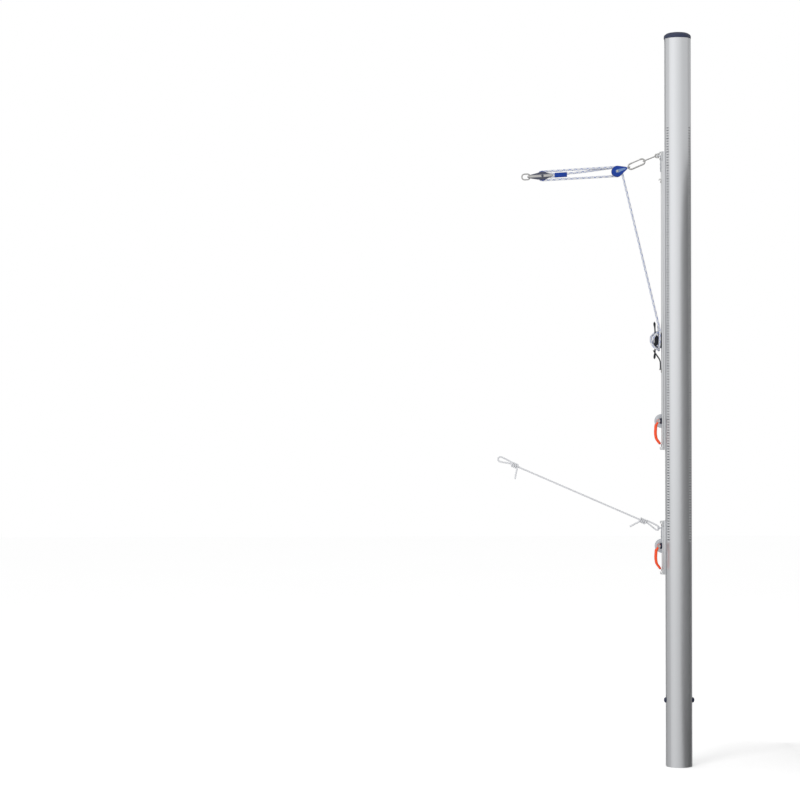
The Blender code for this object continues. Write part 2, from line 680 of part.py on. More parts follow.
def lever_clamp(prefix, z):
    """Lever clamp: bracket, plunger, pivot pin with its cam, and bail handle."""
    face = RAIL_FACE_X - FIT
    half_gap = CHEEK_GAP / 2
    notch = PLUNGER_HEIGHT / 2 + FIT
    notch_x = PIVOT_X + CAM_DIAMETER / 2
    cheek = arc((face, z), CHEEK_RADIUS, math.radians(90), math.radians(270))
    cheek += [(face, z - notch), (notch_x, z - notch), (notch_x, z + notch), (face, z + notch)]
    pin_hole = circle((PIVOT_X, z), PIVOT_DIAMETER / 2 + FIT, 20)
    bracket = build_object(f"{prefix}_bracket",
                           prism(cheek, half_gap, half_gap + CHEEK_THICKNESS, side_frame(), [pin_hole]),
                           zinc())
    boolean(bracket, "UNION",
            prism(cheek, -half_gap - CHEEK_THICKNESS, -half_gap, side_frame(), [pin_hole]))
    bite = CHEEK_THICKNESS / 2
    for sign in (-1, 1):
        ends = sorted((z + sign * (notch + FIT), z + sign * (CHEEK_RADIUS - BRACKET_FLOOR)))
        web = rectangle((face - BRACKET_FLOOR, ends[0]), (face - FIT / 3, ends[1]))
        boolean(bracket, "UNION", prism(web, -half_gap - bite, half_gap + bite, side_frame()))

    block_in = face - FIT
    block_out = notch_x + FIT
    block = rectangle((block_out, z - PLUNGER_HEIGHT / 2), (block_in, z + PLUNGER_HEIGHT / 2))
    plunger = build_object(f"{prefix}_plunger",
                           prism(block, -PLUNGER_WIDTH / 2, PLUNGER_WIDTH / 2, side_frame()),
                           black_plastic())
    stem = rod(PLUNGER_STEM_DIAMETER / 2, -(SLOT_FLOOR_X - FIT), -(block_in + block_out) / 2)
    boolean(plunger, "UNION", turned(stem, net_frame() @ lift(z), 20))
    set_origin(plunger, ((block_in + block_out) / 2, 0, z))

    ear = half_gap + CHEEK_THICKNESS + FIT
    ear_out = ear + HANDLE_ROD
    pin = PIVOT_DIAMETER / 2
    head = PIVOT_HEAD_DIAMETER / 2
    seat = ear_out + FIT
    top = seat + PIVOT_HEAD_HEIGHT
    dish = seat + 0.3 * PIVOT_HEAD_HEIGHT
    profile = [(0, -top), (0.8 * head, -top), (head, -top + 0.4 * PIVOT_HEAD_HEIGHT), (head, -seat),
               (pin, -seat), (pin, seat), (head, seat), (head, top - 0.4 * PIVOT_HEAD_HEIGHT),
               (0.8 * head, top), (0.45 * head, top), (0.35 * head, dish), (0, dish)]
    across = frame_at((PIVOT_X, 0, z), (1, 0, 0), (0, 0, 1))
    pivot = build_object(f"{prefix}_cam_pin", turned(profile, across, 18), stainless())
    set_origin(pivot, (PIVOT_X, 0, z))
    boolean(pivot, "UNION", prism(cam_outline(z), -half_gap + FIT, half_gap - FIT, side_frame()))
    handle(f"{prefix}_handle", z, ear, ear_out)


def cam_outline(z):
    """Cam that lets the plunger back evenly as the lever opens."""
    full = CAM_DIAMETER / 2
    low = full - PLUNGER_TRAVEL
    dwell = 1.4 * LEVER_RANGE
    rise = 0.6 * LEVER_RANGE
    points = []
    steps = 36
    for i in range(steps):
        angle = math.tau * i / steps
        if angle <= LEVER_RANGE:
            radius = full - PLUNGER_TRAVEL * angle / LEVER_RANGE
        elif angle <= dwell:
            radius = low
        else:
            radius = low + PLUNGER_TRAVEL * min(1, (angle - dwell) / rise)
        points.append((PIVOT_X + radius * math.cos(angle), z + radius * math.sin(angle)))
    return points


def handle(name, z, ear, ear_out):
    """Orange bail: two legs down from the pivot pin's eyes, joined by the grip."""
    rod_radius = HANDLE_ROD / 2
    leg = (ear + ear_out) / 2
    bow_x = PIVOT_X - HANDLE_BOW
    grip = Vector((PIVOT_X + HANDLE_TUCK, 0, z - HANDLE_REACH))
    low = Vector((bow_x + 0.8 * rod_radius, 0, z - 0.72 * HANDLE_REACH))
    inward = (grip - low).normalized()
    bend = 2 * rod_radius
    side = smooth_path([Vector((PIVOT_X - 0.5 * rod_radius, 0, z)),
                        Vector((bow_x + 0.4 * rod_radius, 0, z - 0.17 * HANDLE_REACH)),
                        Vector((bow_x, 0, z - 0.32 * HANDLE_REACH)),
                        Vector((bow_x, 0, z - 0.54 * HANDLE_REACH)), low, grip - bend * inward], 2)
    half = [Vector((p.x, leg, p.z)) for p in side]
    for i in range(1, 6):
        angle = math.radians(18 * i)
        spot = grip - bend * inward + bend * math.sin(angle) * inward
        half.append(Vector((spot.x, leg - bend + bend * math.cos(angle), spot.z)))
    route = half + [Vector((p.x, -p.y, p.z)) for p in reversed(half)]
    bail = tube_along(name, route, HANDLE_ROD, orange_coat())
    made = from_curve(name, bail, orange_coat())
    set_origin(made, (PIVOT_X, 0, z))
    across = frame_at((PIVOT_X, 0, z), (1, 0, 0), (0, 0, 1))
    for first, last in ((ear, ear_out), (-ear_out, -ear)):
        boolean(made, "UNION", turned(rod(HANDLE_EYE_DIAMETER / 2, first, last), across, 24))
    boolean(made, "DIFFERENCE",
            turned(rod(PIVOT_DIAMETER / 2 + FIT, -ear_out - FIT, ear_out + FIT), across, 20))


def smooth_path(route, per_span):
    """Points read from a smooth curve through a route, both ends included."""
    points = []
    for i in range(len(route) - 1):
        before = route[i - 1] if i > 0 else 2 * route[0] - route[1]
        after = route[i + 2] if i + 2 < len(route) else 2 * route[-1] - route[-2]
        first, second = route[i], route[i + 1]
        for step in range(per_span):
            t = step / per_span
            points.append(0.5 * (2 * first + (second - before) * t
                                 + (2 * before - 5 * first + 4 * second - after) * t ** 2
                                 + (3 * first - before - 3 * second + after) * t ** 3))
    return points + [route[-1].copy()]


def pad_eye(name, z, plate_ends, rivets, hole_diameter, screw_z=None):
    """Plate on the rail with a level lug, which has an upright hole."""
    plane = RAIL_FACE_X - FIT
    half = EYE_PLATE_WIDTH / 2
    outline = rectangle((-half, z + plate_ends[0]), (half, z + plate_ends[1]))
    plate = build_object(name, prism(outline, 0, EYE_PLATE_THICKNESS, net_frame(plane)), zinc())
    tip = hole_diameter / 2 + EYE_WALL
    root = plane - EYE_PLATE_THICKNESS / 2
    lug = arc((EYE_X, 0), tip, math.radians(90), math.radians(270))
    lug = [(root, half - FIT), *lug, (root, -half + FIT)]
    boolean(plate, "UNION",
            prism(lug, z - EYE_LUG_THICKNESS / 2, z + EYE_LUG_THICKNESS / 2, flat_frame()))
    boolean(plate, "DIFFERENCE",
            turned(rod(hole_diameter / 2, z - EYE_LUG_THICKNESS, z + EYE_LUG_THICKNESS),
                   Matrix.Translation((EYE_X, 0, 0)), 24))
    head = EYE_RIVET_DIAMETER / 2
    top = EYE_PLATE_THICKNESS + EYE_RIVET_HEIGHT
    dome = [(0, EYE_PLATE_THICKNESS / 2), (head, EYE_PLATE_THICKNESS / 2),
            (head, EYE_PLATE_THICKNESS + 0.3 * EYE_RIVET_HEIGHT), (0.7 * head, top - 0.2 * EYE_RIVET_HEIGHT),
            (0.35 * head, top), (0, top)]
    for spot in rivets:
        boolean(plate, "UNION", turned(dome, net_frame(plane) @ lift(z + spot), 16))
    if screw_z is not None:
        boolean(plate, "DIFFERENCE",
                turned(rod(SLIDER_SCREW_DIAMETER / 2 + FIT, -EYE_PLATE_THICKNESS, 2 * EYE_PLATE_THICKNESS),
                       net_frame(plane) @ lift(screw_z), 16))


def side_hook(name, z):
    """Small sheet-metal hook on the rail, its mouth open downwards."""
    foot = RAIL_FACE_X - FIT
    inner = foot - SIDE_HOOK_METAL
    lip = inner - SIDE_HOOK_MOUTH
    outer = lip - SIDE_HOOK_METAL
    top = z + SIDE_HOOK_LENGTH / 3
    low = z - 2 * SIDE_HOOK_LENGTH / 3
    arm = top - SIDE_HOOK_METAL
    outline = [(foot, low), (foot, top), (outer, top), (outer, z - SIDE_HOOK_METAL),
               (lip, z - SIDE_HOOK_METAL), (lip, arm), (inner, arm), (inner, low)]
    hook = build_object(name, prism(outline, -SIDE_HOOK_WIDTH / 2, SIDE_HOOK_WIDTH / 2, side_frame()),
                        stainless())
    head = 0.36 * SIDE_HOOK_WIDTH
    rivet = [(0, FIT), (head, FIT), (head, 1.2 * SIDE_HOOK_METAL), (0.6 * head, 1.7 * SIDE_HOOK_METAL),
             (0, 1.8 * SIDE_HOOK_METAL)]
    boolean(hook, "UNION", turned(rivet, net_frame(foot) @ lift(low + 1.2 * head), 16))


def cleat():
    """Black horn cleat with its two screws in the base."""
    foot = RAIL_FACE_X - FIT
    base = CLEAT_BASE_LENGTH / 2
    stem = CLEAT_STEM_LENGTH / 2
    tip = CLEAT_HORN_LENGTH / 2
    front = CLEAT_FRONT
    flare = stem + CLEAT_STEM_FLARE
    half = [(0.3 * CLEAT_BASE_THICKNESS, flare), (CLEAT_BASE_THICKNESS, flare),
            (0.32 * front, 0.97 * stem), (0.56 * front, 1.05 * stem), (0.79 * front, 1.7 * stem),
            (0.88 * front, 0.64 * tip), (0.96 * front, 0.98 * tip), (1.05 * front, tip),
            (1.12 * front, 0.98 * tip), (1.05 * front, 0.64 * tip), (1.01 * front, 0.3 * tip)]
    outline = half + [(n, -v) for n, v in reversed(half)]
    placed = [(foot - n, CLEAT_HEIGHT + v) for n, v in outline]
    body = build_object("rope_cleat",
                        prism(placed, -CLEAT_HORN_WIDTH / 2, CLEAT_HORN_WIDTH / 2, side_frame()),
                        black_plastic())
    side = CLEAT_BASE_WIDTH / 2
    pad = rectangle((-side, CLEAT_HEIGHT - base), (side, CLEAT_HEIGHT + base))
    boolean(body, "UNION", prism(pad, 0, CLEAT_BASE_THICKNESS, net_frame(foot)))
    head = SLIDER_SCREW_HEAD / 2
    dome = [(0, CLEAT_BASE_THICKNESS / 2), (head, CLEAT_BASE_THICKNESS / 2),
            (head, CLEAT_BASE_THICKNESS + 0.4 * CLEAT_SCREW_RISE),
            (0.8 * head, CLEAT_BASE_THICKNESS + CLEAT_SCREW_RISE),
            (0, CLEAT_BASE_THICKNESS + CLEAT_SCREW_RISE)]
    for sign in (-1, 1):
        spot = CLEAT_HEIGHT + sign * CLEAT_SCREW_SPACING / 2
        boolean(body, "UNION", turned(dome, net_frame(foot) @ lift(spot), 16))


def unit(vector):
    return vector.normalized()


def oval(start, end, radius, side, steps=8):
    """Middle line of an oval link whose two end wires pass start and end."""
    along = unit(end - start)
    points = []
    for centre, first in ((end - along * radius, -90), (start + along * radius, 90)):
        for i in range(steps + 1):
            angle = math.radians(first + 180 * i / steps)
            points.append(centre + along * (radius * math.cos(angle)) + side * (radius * math.sin(angle)))
    return points


def chain():
    """Shackle, long link, carabiner with its gate, and the link to the near block."""
    arm = (SHACKLE_WIDTH - SHACKLE_WIRE) / 2
    pin = Vector((EYE_X, 0, UPPER_EYE))
    bend = pin + Vector((arm - SHACKLE_REACH, 0, 0))
    half = [bend + arm * Vector((-math.sin(math.radians(15 * i)), 0, math.cos(math.radians(15 * i))))
            for i in range(13)]
    bow = [pin + Vector((0, 0, arm)), *half, pin - Vector((0, 0, arm))]
    wire = tube_along("head_shackle_bow", bow, SHACKLE_WIRE, stainless())
    shackle = from_curve("head_shackle", wire, stainless())
    boss = SHACKLE_BOSS_DIAMETER / 2
    outer = arm + SHACKLE_WIRE / 2
    inner = arm - SHACKLE_WIRE / 2
    shank = SHACKLE_WIRE / 2
    head = outer + SHACKLE_PIN_HEAD
    profile = [(0, -outer), (boss, -outer), (boss, -inner), (shank, -inner), (shank, inner), (boss, inner),
               (boss, outer), (0.86 * boss, head - 0.3 * SHACKLE_PIN_HEAD), (0.7 * boss, head), (0, head)]
    boolean(shackle, "UNION", turned(profile, Matrix.Translation(pin), 20))

    along = unit(CARABINER_END - CARABINER_START)
    seat = (CARABINER_WIRE + LINK_WIRE) / 2 + FIT
    across = Vector((0, 1, 0))
    link_radius = (LINK_WIDTH - LINK_WIRE) / 2
    near = pin - Vector((SHACKLE_REACH - (SHACKLE_WIRE + LINK_WIRE) / 2 - 4 * FIT / 3, 0, 0))
    tube_along("long_link", oval(near, CARABINER_START + seat * along, link_radius, across),
               LINK_WIRE, stainless(), closed=True)

    up = Vector((along.z, 0, -along.x))
    carabiner_radius = (CARABINER_WIDTH - CARABINER_WIRE) / 2
    ring = oval(CARABINER_START, CARABINER_END, carabiner_radius, up, 10)
    middle = (CARABINER_START + CARABINER_END) / 2 + carabiner_radius * up
    hinge = middle - along * (GATE_LENGTH / 2)
    nose = middle + along * (GATE_LENGTH / 2)
    body = [nose + along * FIT, *reversed(ring[:11]), *reversed(ring[11:]), hinge - along * GATE_HINGE_GAP]
    tube_along("carabiner", body, CARABINER_WIRE, stainless())
    gate = build_object("carabiner_gate",
                        turned([(0, 0), (GATE_WIRE / 2, 0), (GATE_WIRE / 2, GATE_LENGTH), (0, GATE_LENGTH)],
                               frame_at(hinge, (0, 1, 0), Vector((0, 1, 0)).cross(-along)), 20), stainless())
    set_origin(gate, hinge)

    eye = NEAR_AXIS + NEAR_NECK * unit(CARABINER_END - NEAR_AXIS)
    tube_along("near_head_link", oval(CARABINER_END - seat * along, eye, link_radius, across),
               LINK_WIRE, stainless(), closed=True)


def from_curve(name, curve, mat):
    """The curve's own shape as a mesh object, which Booleans can work on."""
    mesh = bpy.data.meshes.new_from_object(curve.evaluated_get(bpy.context.evaluated_depsgraph_get()))
    bpy.data.objects.remove(curve, do_unlink=True)
    bm = bmesh.new()
    bm.from_mesh(mesh)
    bpy.data.meshes.remove(mesh)
    bmesh.ops.remove_doubles(bm, verts=bm.verts, dist=FIT / 100)
    bmesh.ops.recalc_face_normals(bm, faces=bm.faces)
    return build_object(name, bm, mat)


def hull(circles):
    """Outline round circles in a row, each as its middle and radius, from the first to the last."""
    (first, first_radius), (last, last_radius) = circles[0], circles[-1]
    first, last = Vector(first), Vector(last)
    along = last - first
    turn = math.atan2(along.y, along.x)
    lean = math.acos((first_radius - last_radius) / along.length)
    points = arc(first, first_radius, turn + lean, turn + math.tau - lean)
    return points + arc(last, last_radius, turn - lean, turn + lean)


def axle(name, at, half_length, mat, radius=None, head=None, head_height=None):
    """A pin across the post's front-to-back direction, with a head at each end."""
    radius = BLOCK_PIN_DIAMETER / 2 if radius is None else radius
    head = BLOCK_PIN_HEAD / 2 if head is None else head
    head_height = BLOCK_PIN_HEIGHT if head_height is None else head_height
    top = half_length + head_height
    profile = [(0, -top), (0.7 * head, -top), (head, -top + 0.5 * head_height), (head, -half_length),
               (radius, -half_length), (radius, half_length), (head, half_length),
               (head, top - 0.5 * head_height), (0.7 * head, top), (0, top)]
    return build_object(name, turned(profile, frame_at(at, (1, 0, 0), (0, 0, 1)), 16), mat)


def sheave(name, at, mat):
    """Grooved wheel on its pin, its origin on the axis."""
    half = SHEAVE_WIDTH / 2
    rim = SHEAVE_ROPE_RADIUS + SHEAVE_RIM
    bore = BLOCK_PIN_DIAMETER / 2 + FIT
    groove = ROPE_DIAMETER / 2 + GROOVE_SLACK
    edge = math.asin(SHEAVE_RIM / groove)
    profile = [(bore, -half), (rim - SHEAVE_RIM / 3, -half), (rim, -half + SHEAVE_RIM / 3)]
    steps = 6
    for i in range(steps + 1):
        angle = math.pi - edge + (math.pi + 2 * edge) * i / steps
        profile.append((SHEAVE_ROPE_RADIUS + groove * math.sin(angle),
                        groove * math.cos(angle)))
    profile += [(rim, half - SHEAVE_RIM / 3), (rim - SHEAVE_RIM / 3, half), (bore, half)]
    made = build_object(name, turned(profile, frame_at(at, (1, 0, 0), (0, 0, 1)), 30), mat)
    set_origin(made, at)
    return made


def near_block():
    """Blue double block: two cheeks, a divider with the eye, two sheaves and their pin."""
    plate = BLOCK_PLATE / 2
    gap = BLOCK_GAP
    inner = plate + SHEAVE_WIDTH + 2 * gap
    outer = inner + BLOCK_CHEEK
    neck = unit(CARABINER_END - NEAR_AXIS)
    axis = (NEAR_AXIS.x, NEAR_AXIS.z)
    eye = (NEAR_AXIS.x + NEAR_NECK * neck.x, NEAR_AXIS.z + NEAR_NECK * neck.z)
    spacer = NEAR_AXIS + NEAR_SPACER * neck
    outline = hull(((axis, NEAR_CHEEK_RADIUS), (eye, BLOCK_EYE_RADIUS)))
    pin_hole = circle(axis, BLOCK_PIN_DIAMETER / 2 + FIT, 20)
    for name, side in (("near_cheek_front", 1), ("near_cheek_back", -1)):
        ends = sorted((side * inner, side * outer))
        cheek = build_object(name, prism(outline, *ends, side_frame(), [pin_hole]), blue_plastic())
        ends = sorted((side * (plate + FIT), side * (inner + BLOCK_CHEEK / 2)))
        boolean(cheek, "UNION",
                turned(rod(NEAR_SPACER_RADIUS, *ends), frame_at(spacer, (1, 0, 0), (0, 0, 1)), 20))
    build_object("near_divider",
                 prism(outline, -plate, plate, side_frame(),
                       [pin_hole, circle(eye, BLOCK_EYE_HOLE / 2, 20)]), blue_plastic())
    middle = plate + gap + SHEAVE_WIDTH / 2
    sheave("near_sheave_front", NEAR_AXIS - Vector((0, middle, 0)), navy_plastic())
    sheave("near_sheave_back", NEAR_AXIS + Vector((0, middle, 0)), navy_plastic())
    axle("near_pin", NEAR_AXIS, outer + FIT, stainless())


def far_block():
    """Steel single block: two plates, a sheave, its axle and the ring pin.

    The becket pin, which holds the rope's eye, is fixed in the back plate.
    """
    away = unit(FAR_AXIS - NEAR_AXIS)
    inner = SHEAVE_WIDTH / 2 + BLOCK_GAP
    outer = inner + BLOCK_PLATE
    axis = (FAR_AXIS.x, FAR_AXIS.z)
    tip = FAR_AXIS + FAR_TIP * away
    becket = FAR_AXIS - FAR_BECKET * away
    upper = far_outline(axis, (tip.x, tip.z), (becket.x, becket.z))
    hole = BLOCK_PIN_DIAMETER / 2 + FIT
    small_hole = FAR_PIN_DIAMETER / 2 + FIT
    holes = [circle(axis, hole, 20), circle((tip.x, tip.z), small_hole, 16),
             circle((becket.x, becket.z), small_hole, 16)]
    for name, side in (("far_plate_front", 1), ("far_plate_back", -1)):
        plate = build_object(name, prism(upper, *sorted((side * inner, side * outer)), side_frame(),
                                         holes if side > 0 else holes[:2]), stainless())
    sheave("far_sheave", FAR_AXIS, blue_plastic())
    axle("far_axle", FAR_AXIS, outer + FIT, stainless())
    small = FAR_PIN_DIAMETER / 2
    top = outer + FIT + BLOCK_PIN_HEIGHT
    rivet = [(0, -(inner + BLOCK_PLATE / 2)), (small, -(inner + BLOCK_PLATE / 2)), (small, outer + FIT),
             (FAR_PIN_HEAD / 2, outer + FIT), (FAR_PIN_HEAD / 2, top - BLOCK_PIN_HEIGHT / 2),
             (0.35 * FAR_PIN_HEAD, top), (0, top)]
    boolean(plate, "UNION", turned(rivet, frame_at(becket, (1, 0, 0), (0, 0, 1)), 16))
    axle("ring_pin", tip, outer + FIT, stainless(), small, FAR_PIN_HEAD / 2)
    ring_radius = (RING_WIDTH - RING_WIRE) / 2
    near = tip - (small + RING_WIRE / 2 + FIT) * away
    end = near + (RING_LENGTH - RING_WIRE) * away
    side = Vector((away.z, 0, -away.x))
    tube_along("net_ring", oval(near, end, ring_radius, side, 10), RING_WIRE, stainless(), closed=True)


def far_outline(axis, tip, becket):
    """Outline of a far block plate: round the axle, drawn out to the ring pin and the becket pin."""
    first = hull(((axis, FAR_PLATE_RADIUS), (tip, FAR_TIP_RADIUS)))
    second = hull(((axis, FAR_PLATE_RADIUS), (becket, FAR_TIP_RADIUS)))
    away = (Vector(tip) - Vector(axis)).normalized()
    outer = [p for p in first if (Vector(p) - Vector(axis)).dot(away) > 0]
    inner = [p for p in second if (Vector(p) - Vector(axis)).dot(away) < 0]
    turn = math.atan2(away.y, away.x)

    def bearing(point):
        return (math.atan2(point[1] - axis[1], point[0] - axis[0]) - turn) % math.tau

    return sorted(outer + inner, key=bearing)


def bearing(centre, point):
    """Angle of a point round a centre, from +X towards +Z."""
    return math.atan2(point.z - centre.z, point.x - centre.x)


def touch(centre, radius, outside, turn, leaving):
    """Angle at which a straight stretch from an outside point meets a circle.

    turn is 1 where the cord goes round from +X towards +Z, and -1 the other way.
    """
    reach = Vector((outside.x - centre.x, outside.z - centre.z)).length
    lean = math.acos(radius / reach)
    return bearing(centre, outside) + (-turn if leaving else turn) * lean


def round_circle(centre, radius, start, end, turn, lead=0.0, step=CORD_ARC_STEP):
    """Points round a circle in the front plane, in the direction of turn.

    lead adds a straight stretch of that length before and after.
    """
    sweep = ((end - start) * turn) % math.tau
    steps = max(2, math.ceil(sweep / step))
    points = []
    for i in range(steps + 1):
        angle = start + turn * sweep * i / steps
        points.append(centre + radius * Vector((math.cos(angle), 0, math.sin(angle))))
    if lead:
        way = turn * Vector((-math.sin(start), 0, math.cos(start)))
        points.insert(0, points[0] - lead * way)
        way = turn * Vector((-math.sin(end), 0, math.cos(end)))
        points.append(points[-1] + lead * way)
    return points


def beside_cleat(n, y, v):
    """Point at n out from the rail face and v above the cleat's middle, all in millimetres."""
    return Vector((RAIL_FACE_X - FIT - n * MM, y * MM, CLEAT_HEIGHT + v * MM))


def cleat_turns():
    """Rope route on the cleat: under the lower horn, two crossed turns, then up to its end."""
    route = [beside_cleat(*spot) for spot in WINDING_ENTRY]
    steps = 30
    for i in range(2 * steps + 1):
        turn = i / steps
        angle = math.pi + math.pi * turn
        reach = WINDING_REACH + WINDING_SPREAD * turn
        low = WINDING_LOW[0] + turn * (WINDING_LOW[1] - WINDING_LOW[0])
        if turn > 1:
            low = WINDING_LOW[1] + (turn - 1) * (WINDING_LOW[2] - WINDING_LOW[1])
        high = WINDING_HIGH[0] if turn <= 1 else WINDING_HIGH[1]
        lift_off = (math.sqrt(math.sin(angle) ** 2 + 1 / 16) - 1 / 4) / (math.sqrt(17 / 16) - 1 / 4)
        route.append(beside_cleat(low + (high - low) * lift_off, WINDING_WIDTH * math.sin(2 * angle),
                                  reach * math.cos(angle)))
    return route + [beside_cleat(*spot) for spot in WINDING_EXIT]


def tackle_rope():
    """The rope: eye at the becket, three runs between the blocks, the haul and its turns."""
    away = unit(FAR_AXIS - NEAR_AXIS)
    up = Vector((away.z, 0, -away.x))
    becket = FAR_AXIS - FAR_BECKET * away
    sleeve_face = FAR_AXIS - SLEEVE_START * away
    stub = sleeve_face + FIT * away - SLEEVE_STUB_DROP * up
    entry = sleeve_face + SLEEVE_BORE_RISE * up
    leave = entry - SLEEVE_LENGTH * away
    loop = FAR_PIN_DIAMETER / 2 + ROPE_DIAMETER / 2 + BECKET_SLACK
    straight = SLEEVE_LEAD * away
    points = [stub, stub + straight]
    points += round_circle(becket, loop, touch(becket, loop, stub + straight, -1, False),
                           touch(becket, loop, entry + straight, -1, True), -1)
    points += [entry + straight, entry.lerp(leave, 0.5), leave - straight]

    lane = Vector((0, BLOCK_PLATE / 2 + BLOCK_GAP + SHEAVE_WIDTH / 2, 0))
    radius = SHEAVE_ROPE_RADIUS
    over = math.atan2(up.z, up.x)
    points += round_circle(NEAR_AXIS + lane, radius, touch(NEAR_AXIS, radius, leave, -1, False),
                           over - math.pi, -1, SHEAVE_LEAD)
    points += round_circle(FAR_AXIS, radius, over - math.pi, over, -1, SHEAVE_LEAD)
    haul = cleat_turns()
    points += round_circle(NEAR_AXIS - lane, radius, over,
                           touch(NEAR_AXIS, radius, haul[0], -1, True), -1, SHEAVE_LEAD)
    lead = haul[0] + (haul[0] - haul[1]).length * unit(points[-1] - haul[0])
    points += smooth_path([lead, *haul], 1)
    tube_along("tackle_rope", points, ROPE_DIAMETER, rope_fibre())
    print(f"tackle_rope {path_length(points):.3f} m, least gap "
          f"{least_gap(points, ROPE_DIAMETER, SKIP_ROPE) / MM:.2f} mm")

    end = points[-1]
    onward = unit(points[-1] - points[-2])
    cap_frame = frame_at(end + FIT * onward, (0, 1, 0), onward.cross(Vector((0, 1, 0))))
    radius = ROPE_END_DIAMETER / 2
    build_object("rope_end",
                 turned([(0, 0), (radius, 0), (radius, 0.85 * ROPE_END_LENGTH),
                         (0.7 * radius, ROPE_END_LENGTH), (0, ROPE_END_LENGTH)], cap_frame, 20),
                 black_plastic())

    half = SLEEVE_HEIGHT / 2
    corner = SLEEVE_CORNER
    flat = SLEEVE_WIDTH / 2 - corner
    outline = []
    for quarter, (cu, cv) in enumerate(((half - corner, flat), (corner - half, flat),
                                        (corner - half, -flat), (half - corner, -flat))):
        outline += arc((cu, cv), corner, math.radians(90 * quarter), math.radians(90 * quarter + 90))
    bore = circle((SLEEVE_BORE_RISE, 0), ROPE_DIAMETER / 2 + FIT, 24)
    build_object("rope_sleeve",
                 prism(outline, 0, SLEEVE_LENGTH, frame_at(sleeve_face, up, (0, -1, 0)), [bore]),
                 blue_plastic())


def knotted_loop(eye, centre, radius, along, turn, tail_way):
    """Cord route from a knot's far end, through its core, round the eye and back in turns to its tail."""
    rise = Vector((-along.z, 0, along.x))
    rise = rise if rise.z > 0 else -rise
    front = Vector((0, -1, 0))
    start = eye + KNOT_START * along
    wrap = CORD_DIAMETER + CORE_GAP
    pitch = CORD_DIAMETER + TURN_GAP
    back = start + wrap * rise
    core = [start + (KNOT_TURNS + 2) * pitch * along, start]
    loop = round_circle(centre, radius, touch(centre, radius, start, turn, False),
                        touch(centre, radius, back, turn, True), turn)
    helix_lean = math.atan2(math.tau * wrap, pitch)
    entry = []
    for i in range(5):
        lean = helix_lean * i / 4
        entry.append((KNOT_BEND * math.sin(lean), KNOT_BEND * (1 - math.cos(lean)) / wrap))
    run, angle = entry[-1]
    last = math.tau * KNOT_TURNS
    steps = math.ceil((last - angle) / math.tau * TURN_STEPS)
    for i in range(1, steps + 1):
        entry.append((run + pitch * (last - angle) * i / steps / math.tau,
                      angle + (last - angle) * i / steps))
    turns = [start + spot * along + wrap * (math.cos(a) * rise + math.sin(a) * front) for spot, a in entry]
    heading = unit(turns[-1] - turns[-2])
    bend = turns[-1] + 1.2 * CORD_DIAMETER * heading
    tail = smooth_path([turns[-1], bend, bend + 0.4 * CORD_TAIL * tail_way, bend + CORD_TAIL * tail_way], 4)
    return core + loop + turns + tail[1:]


def lower_cord():
    """Twisted cord from the lower eye to its knotted loop at the net."""
    near = Vector((EYE_X, 0, LOWER_EYE))
    along = unit(CORD_FAR_EYE - near)
    near_end = knotted_loop(near, near - Vector((CORD_LOOP_RADIUS, 0, 0)), CORD_LOOP_RADIUS, along, 1,
                            unit(Vector(NEAR_TAIL_WAY)))
    far_end = knotted_loop(CORD_FAR_EYE, CORD_FAR_EYE - FAR_LOOP_RADIUS * along, FAR_LOOP_RADIUS,
                           -along, -1, unit(Vector(FAR_TAIL_WAY)))
    middle = [far_end[0].lerp(near_end[0], i / 8) for i in range(1, 8)]
    points = list(reversed(far_end)) + middle + near_end
    tube_along("lower_cord", points, CORD_DIAMETER, rope_fibre())
    print(f"lower_cord {path_length(points):.3f} m, least gap "
          f"{least_gap(points, CORD_DIAMETER, SKIP_ROPE) / MM:.2f} mm")


def stow_cord():
    """Elastic loop from the lower side hook over the cleat's lower horn."""
    half = [beside_cleat(n, -y, v) for n, y, v in STOW_ROUTE]
    other = [Vector((p.x, -p.y, p.z)) for p in reversed(half[1:-1])]
    route = half + other
    points = []
    for i in range(len(route)):
        before, first = route[i - 1], route[i]
        second, after = route[(i + 1) % len(route)], route[(i + 2) % len(route)]
        points += smooth_path([before, first, second, after], 3)[3:6]
    tube_along("stow_cord", points, SHOCK_CORD_DIAMETER, shock_cord_cover(), closed=True)
    print(f"stow_cord {path_length(points + points[:1]):.3f} m")


def main():
    clear_scene()
    make_post()
    slider("upper", UPPER_BOTTOM, UPPER_TOP, UPPER_CLAMP, True)
    slider("lower", LOWER_BOTTOM, LOWER_TOP, LOWER_CLAMP, False)
    lever_clamp("upper", UPPER_CLAMP)
    lever_clamp("lower", LOWER_CLAMP)
    pad_eye("upper_eye", UPPER_EYE, UPPER_EYE_PLATE, UPPER_EYE_RIVETS,
            SHACKLE_WIRE + 2 * FIT, UPPER_TOP - LONG_HOOK_SCREW)
    pad_eye("lower_eye", LOWER_EYE, LOWER_EYE_PLATE, LOWER_EYE_RIVETS, CORD_HOLE_DIAMETER)
    side_hook("upper_side_hook", UPPER_SIDE_HOOK)
    side_hook("lower_side_hook", LOWER_SIDE_HOOK)
    cleat()
    chain()
    near_block()
    far_block()
    tackle_rope()
    lower_cord()
    stow_cord()


main()
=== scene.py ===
"""Volleyball net post: the visual model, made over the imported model.

Lengths are in millimetres where nothing else is said, and become metres where a mesh is made. The
post stands on +Z, its net side is -X and its front is -Y.
"""
import math
from types import SimpleNamespace

import bpy
from mathutils import Matrix, Vector


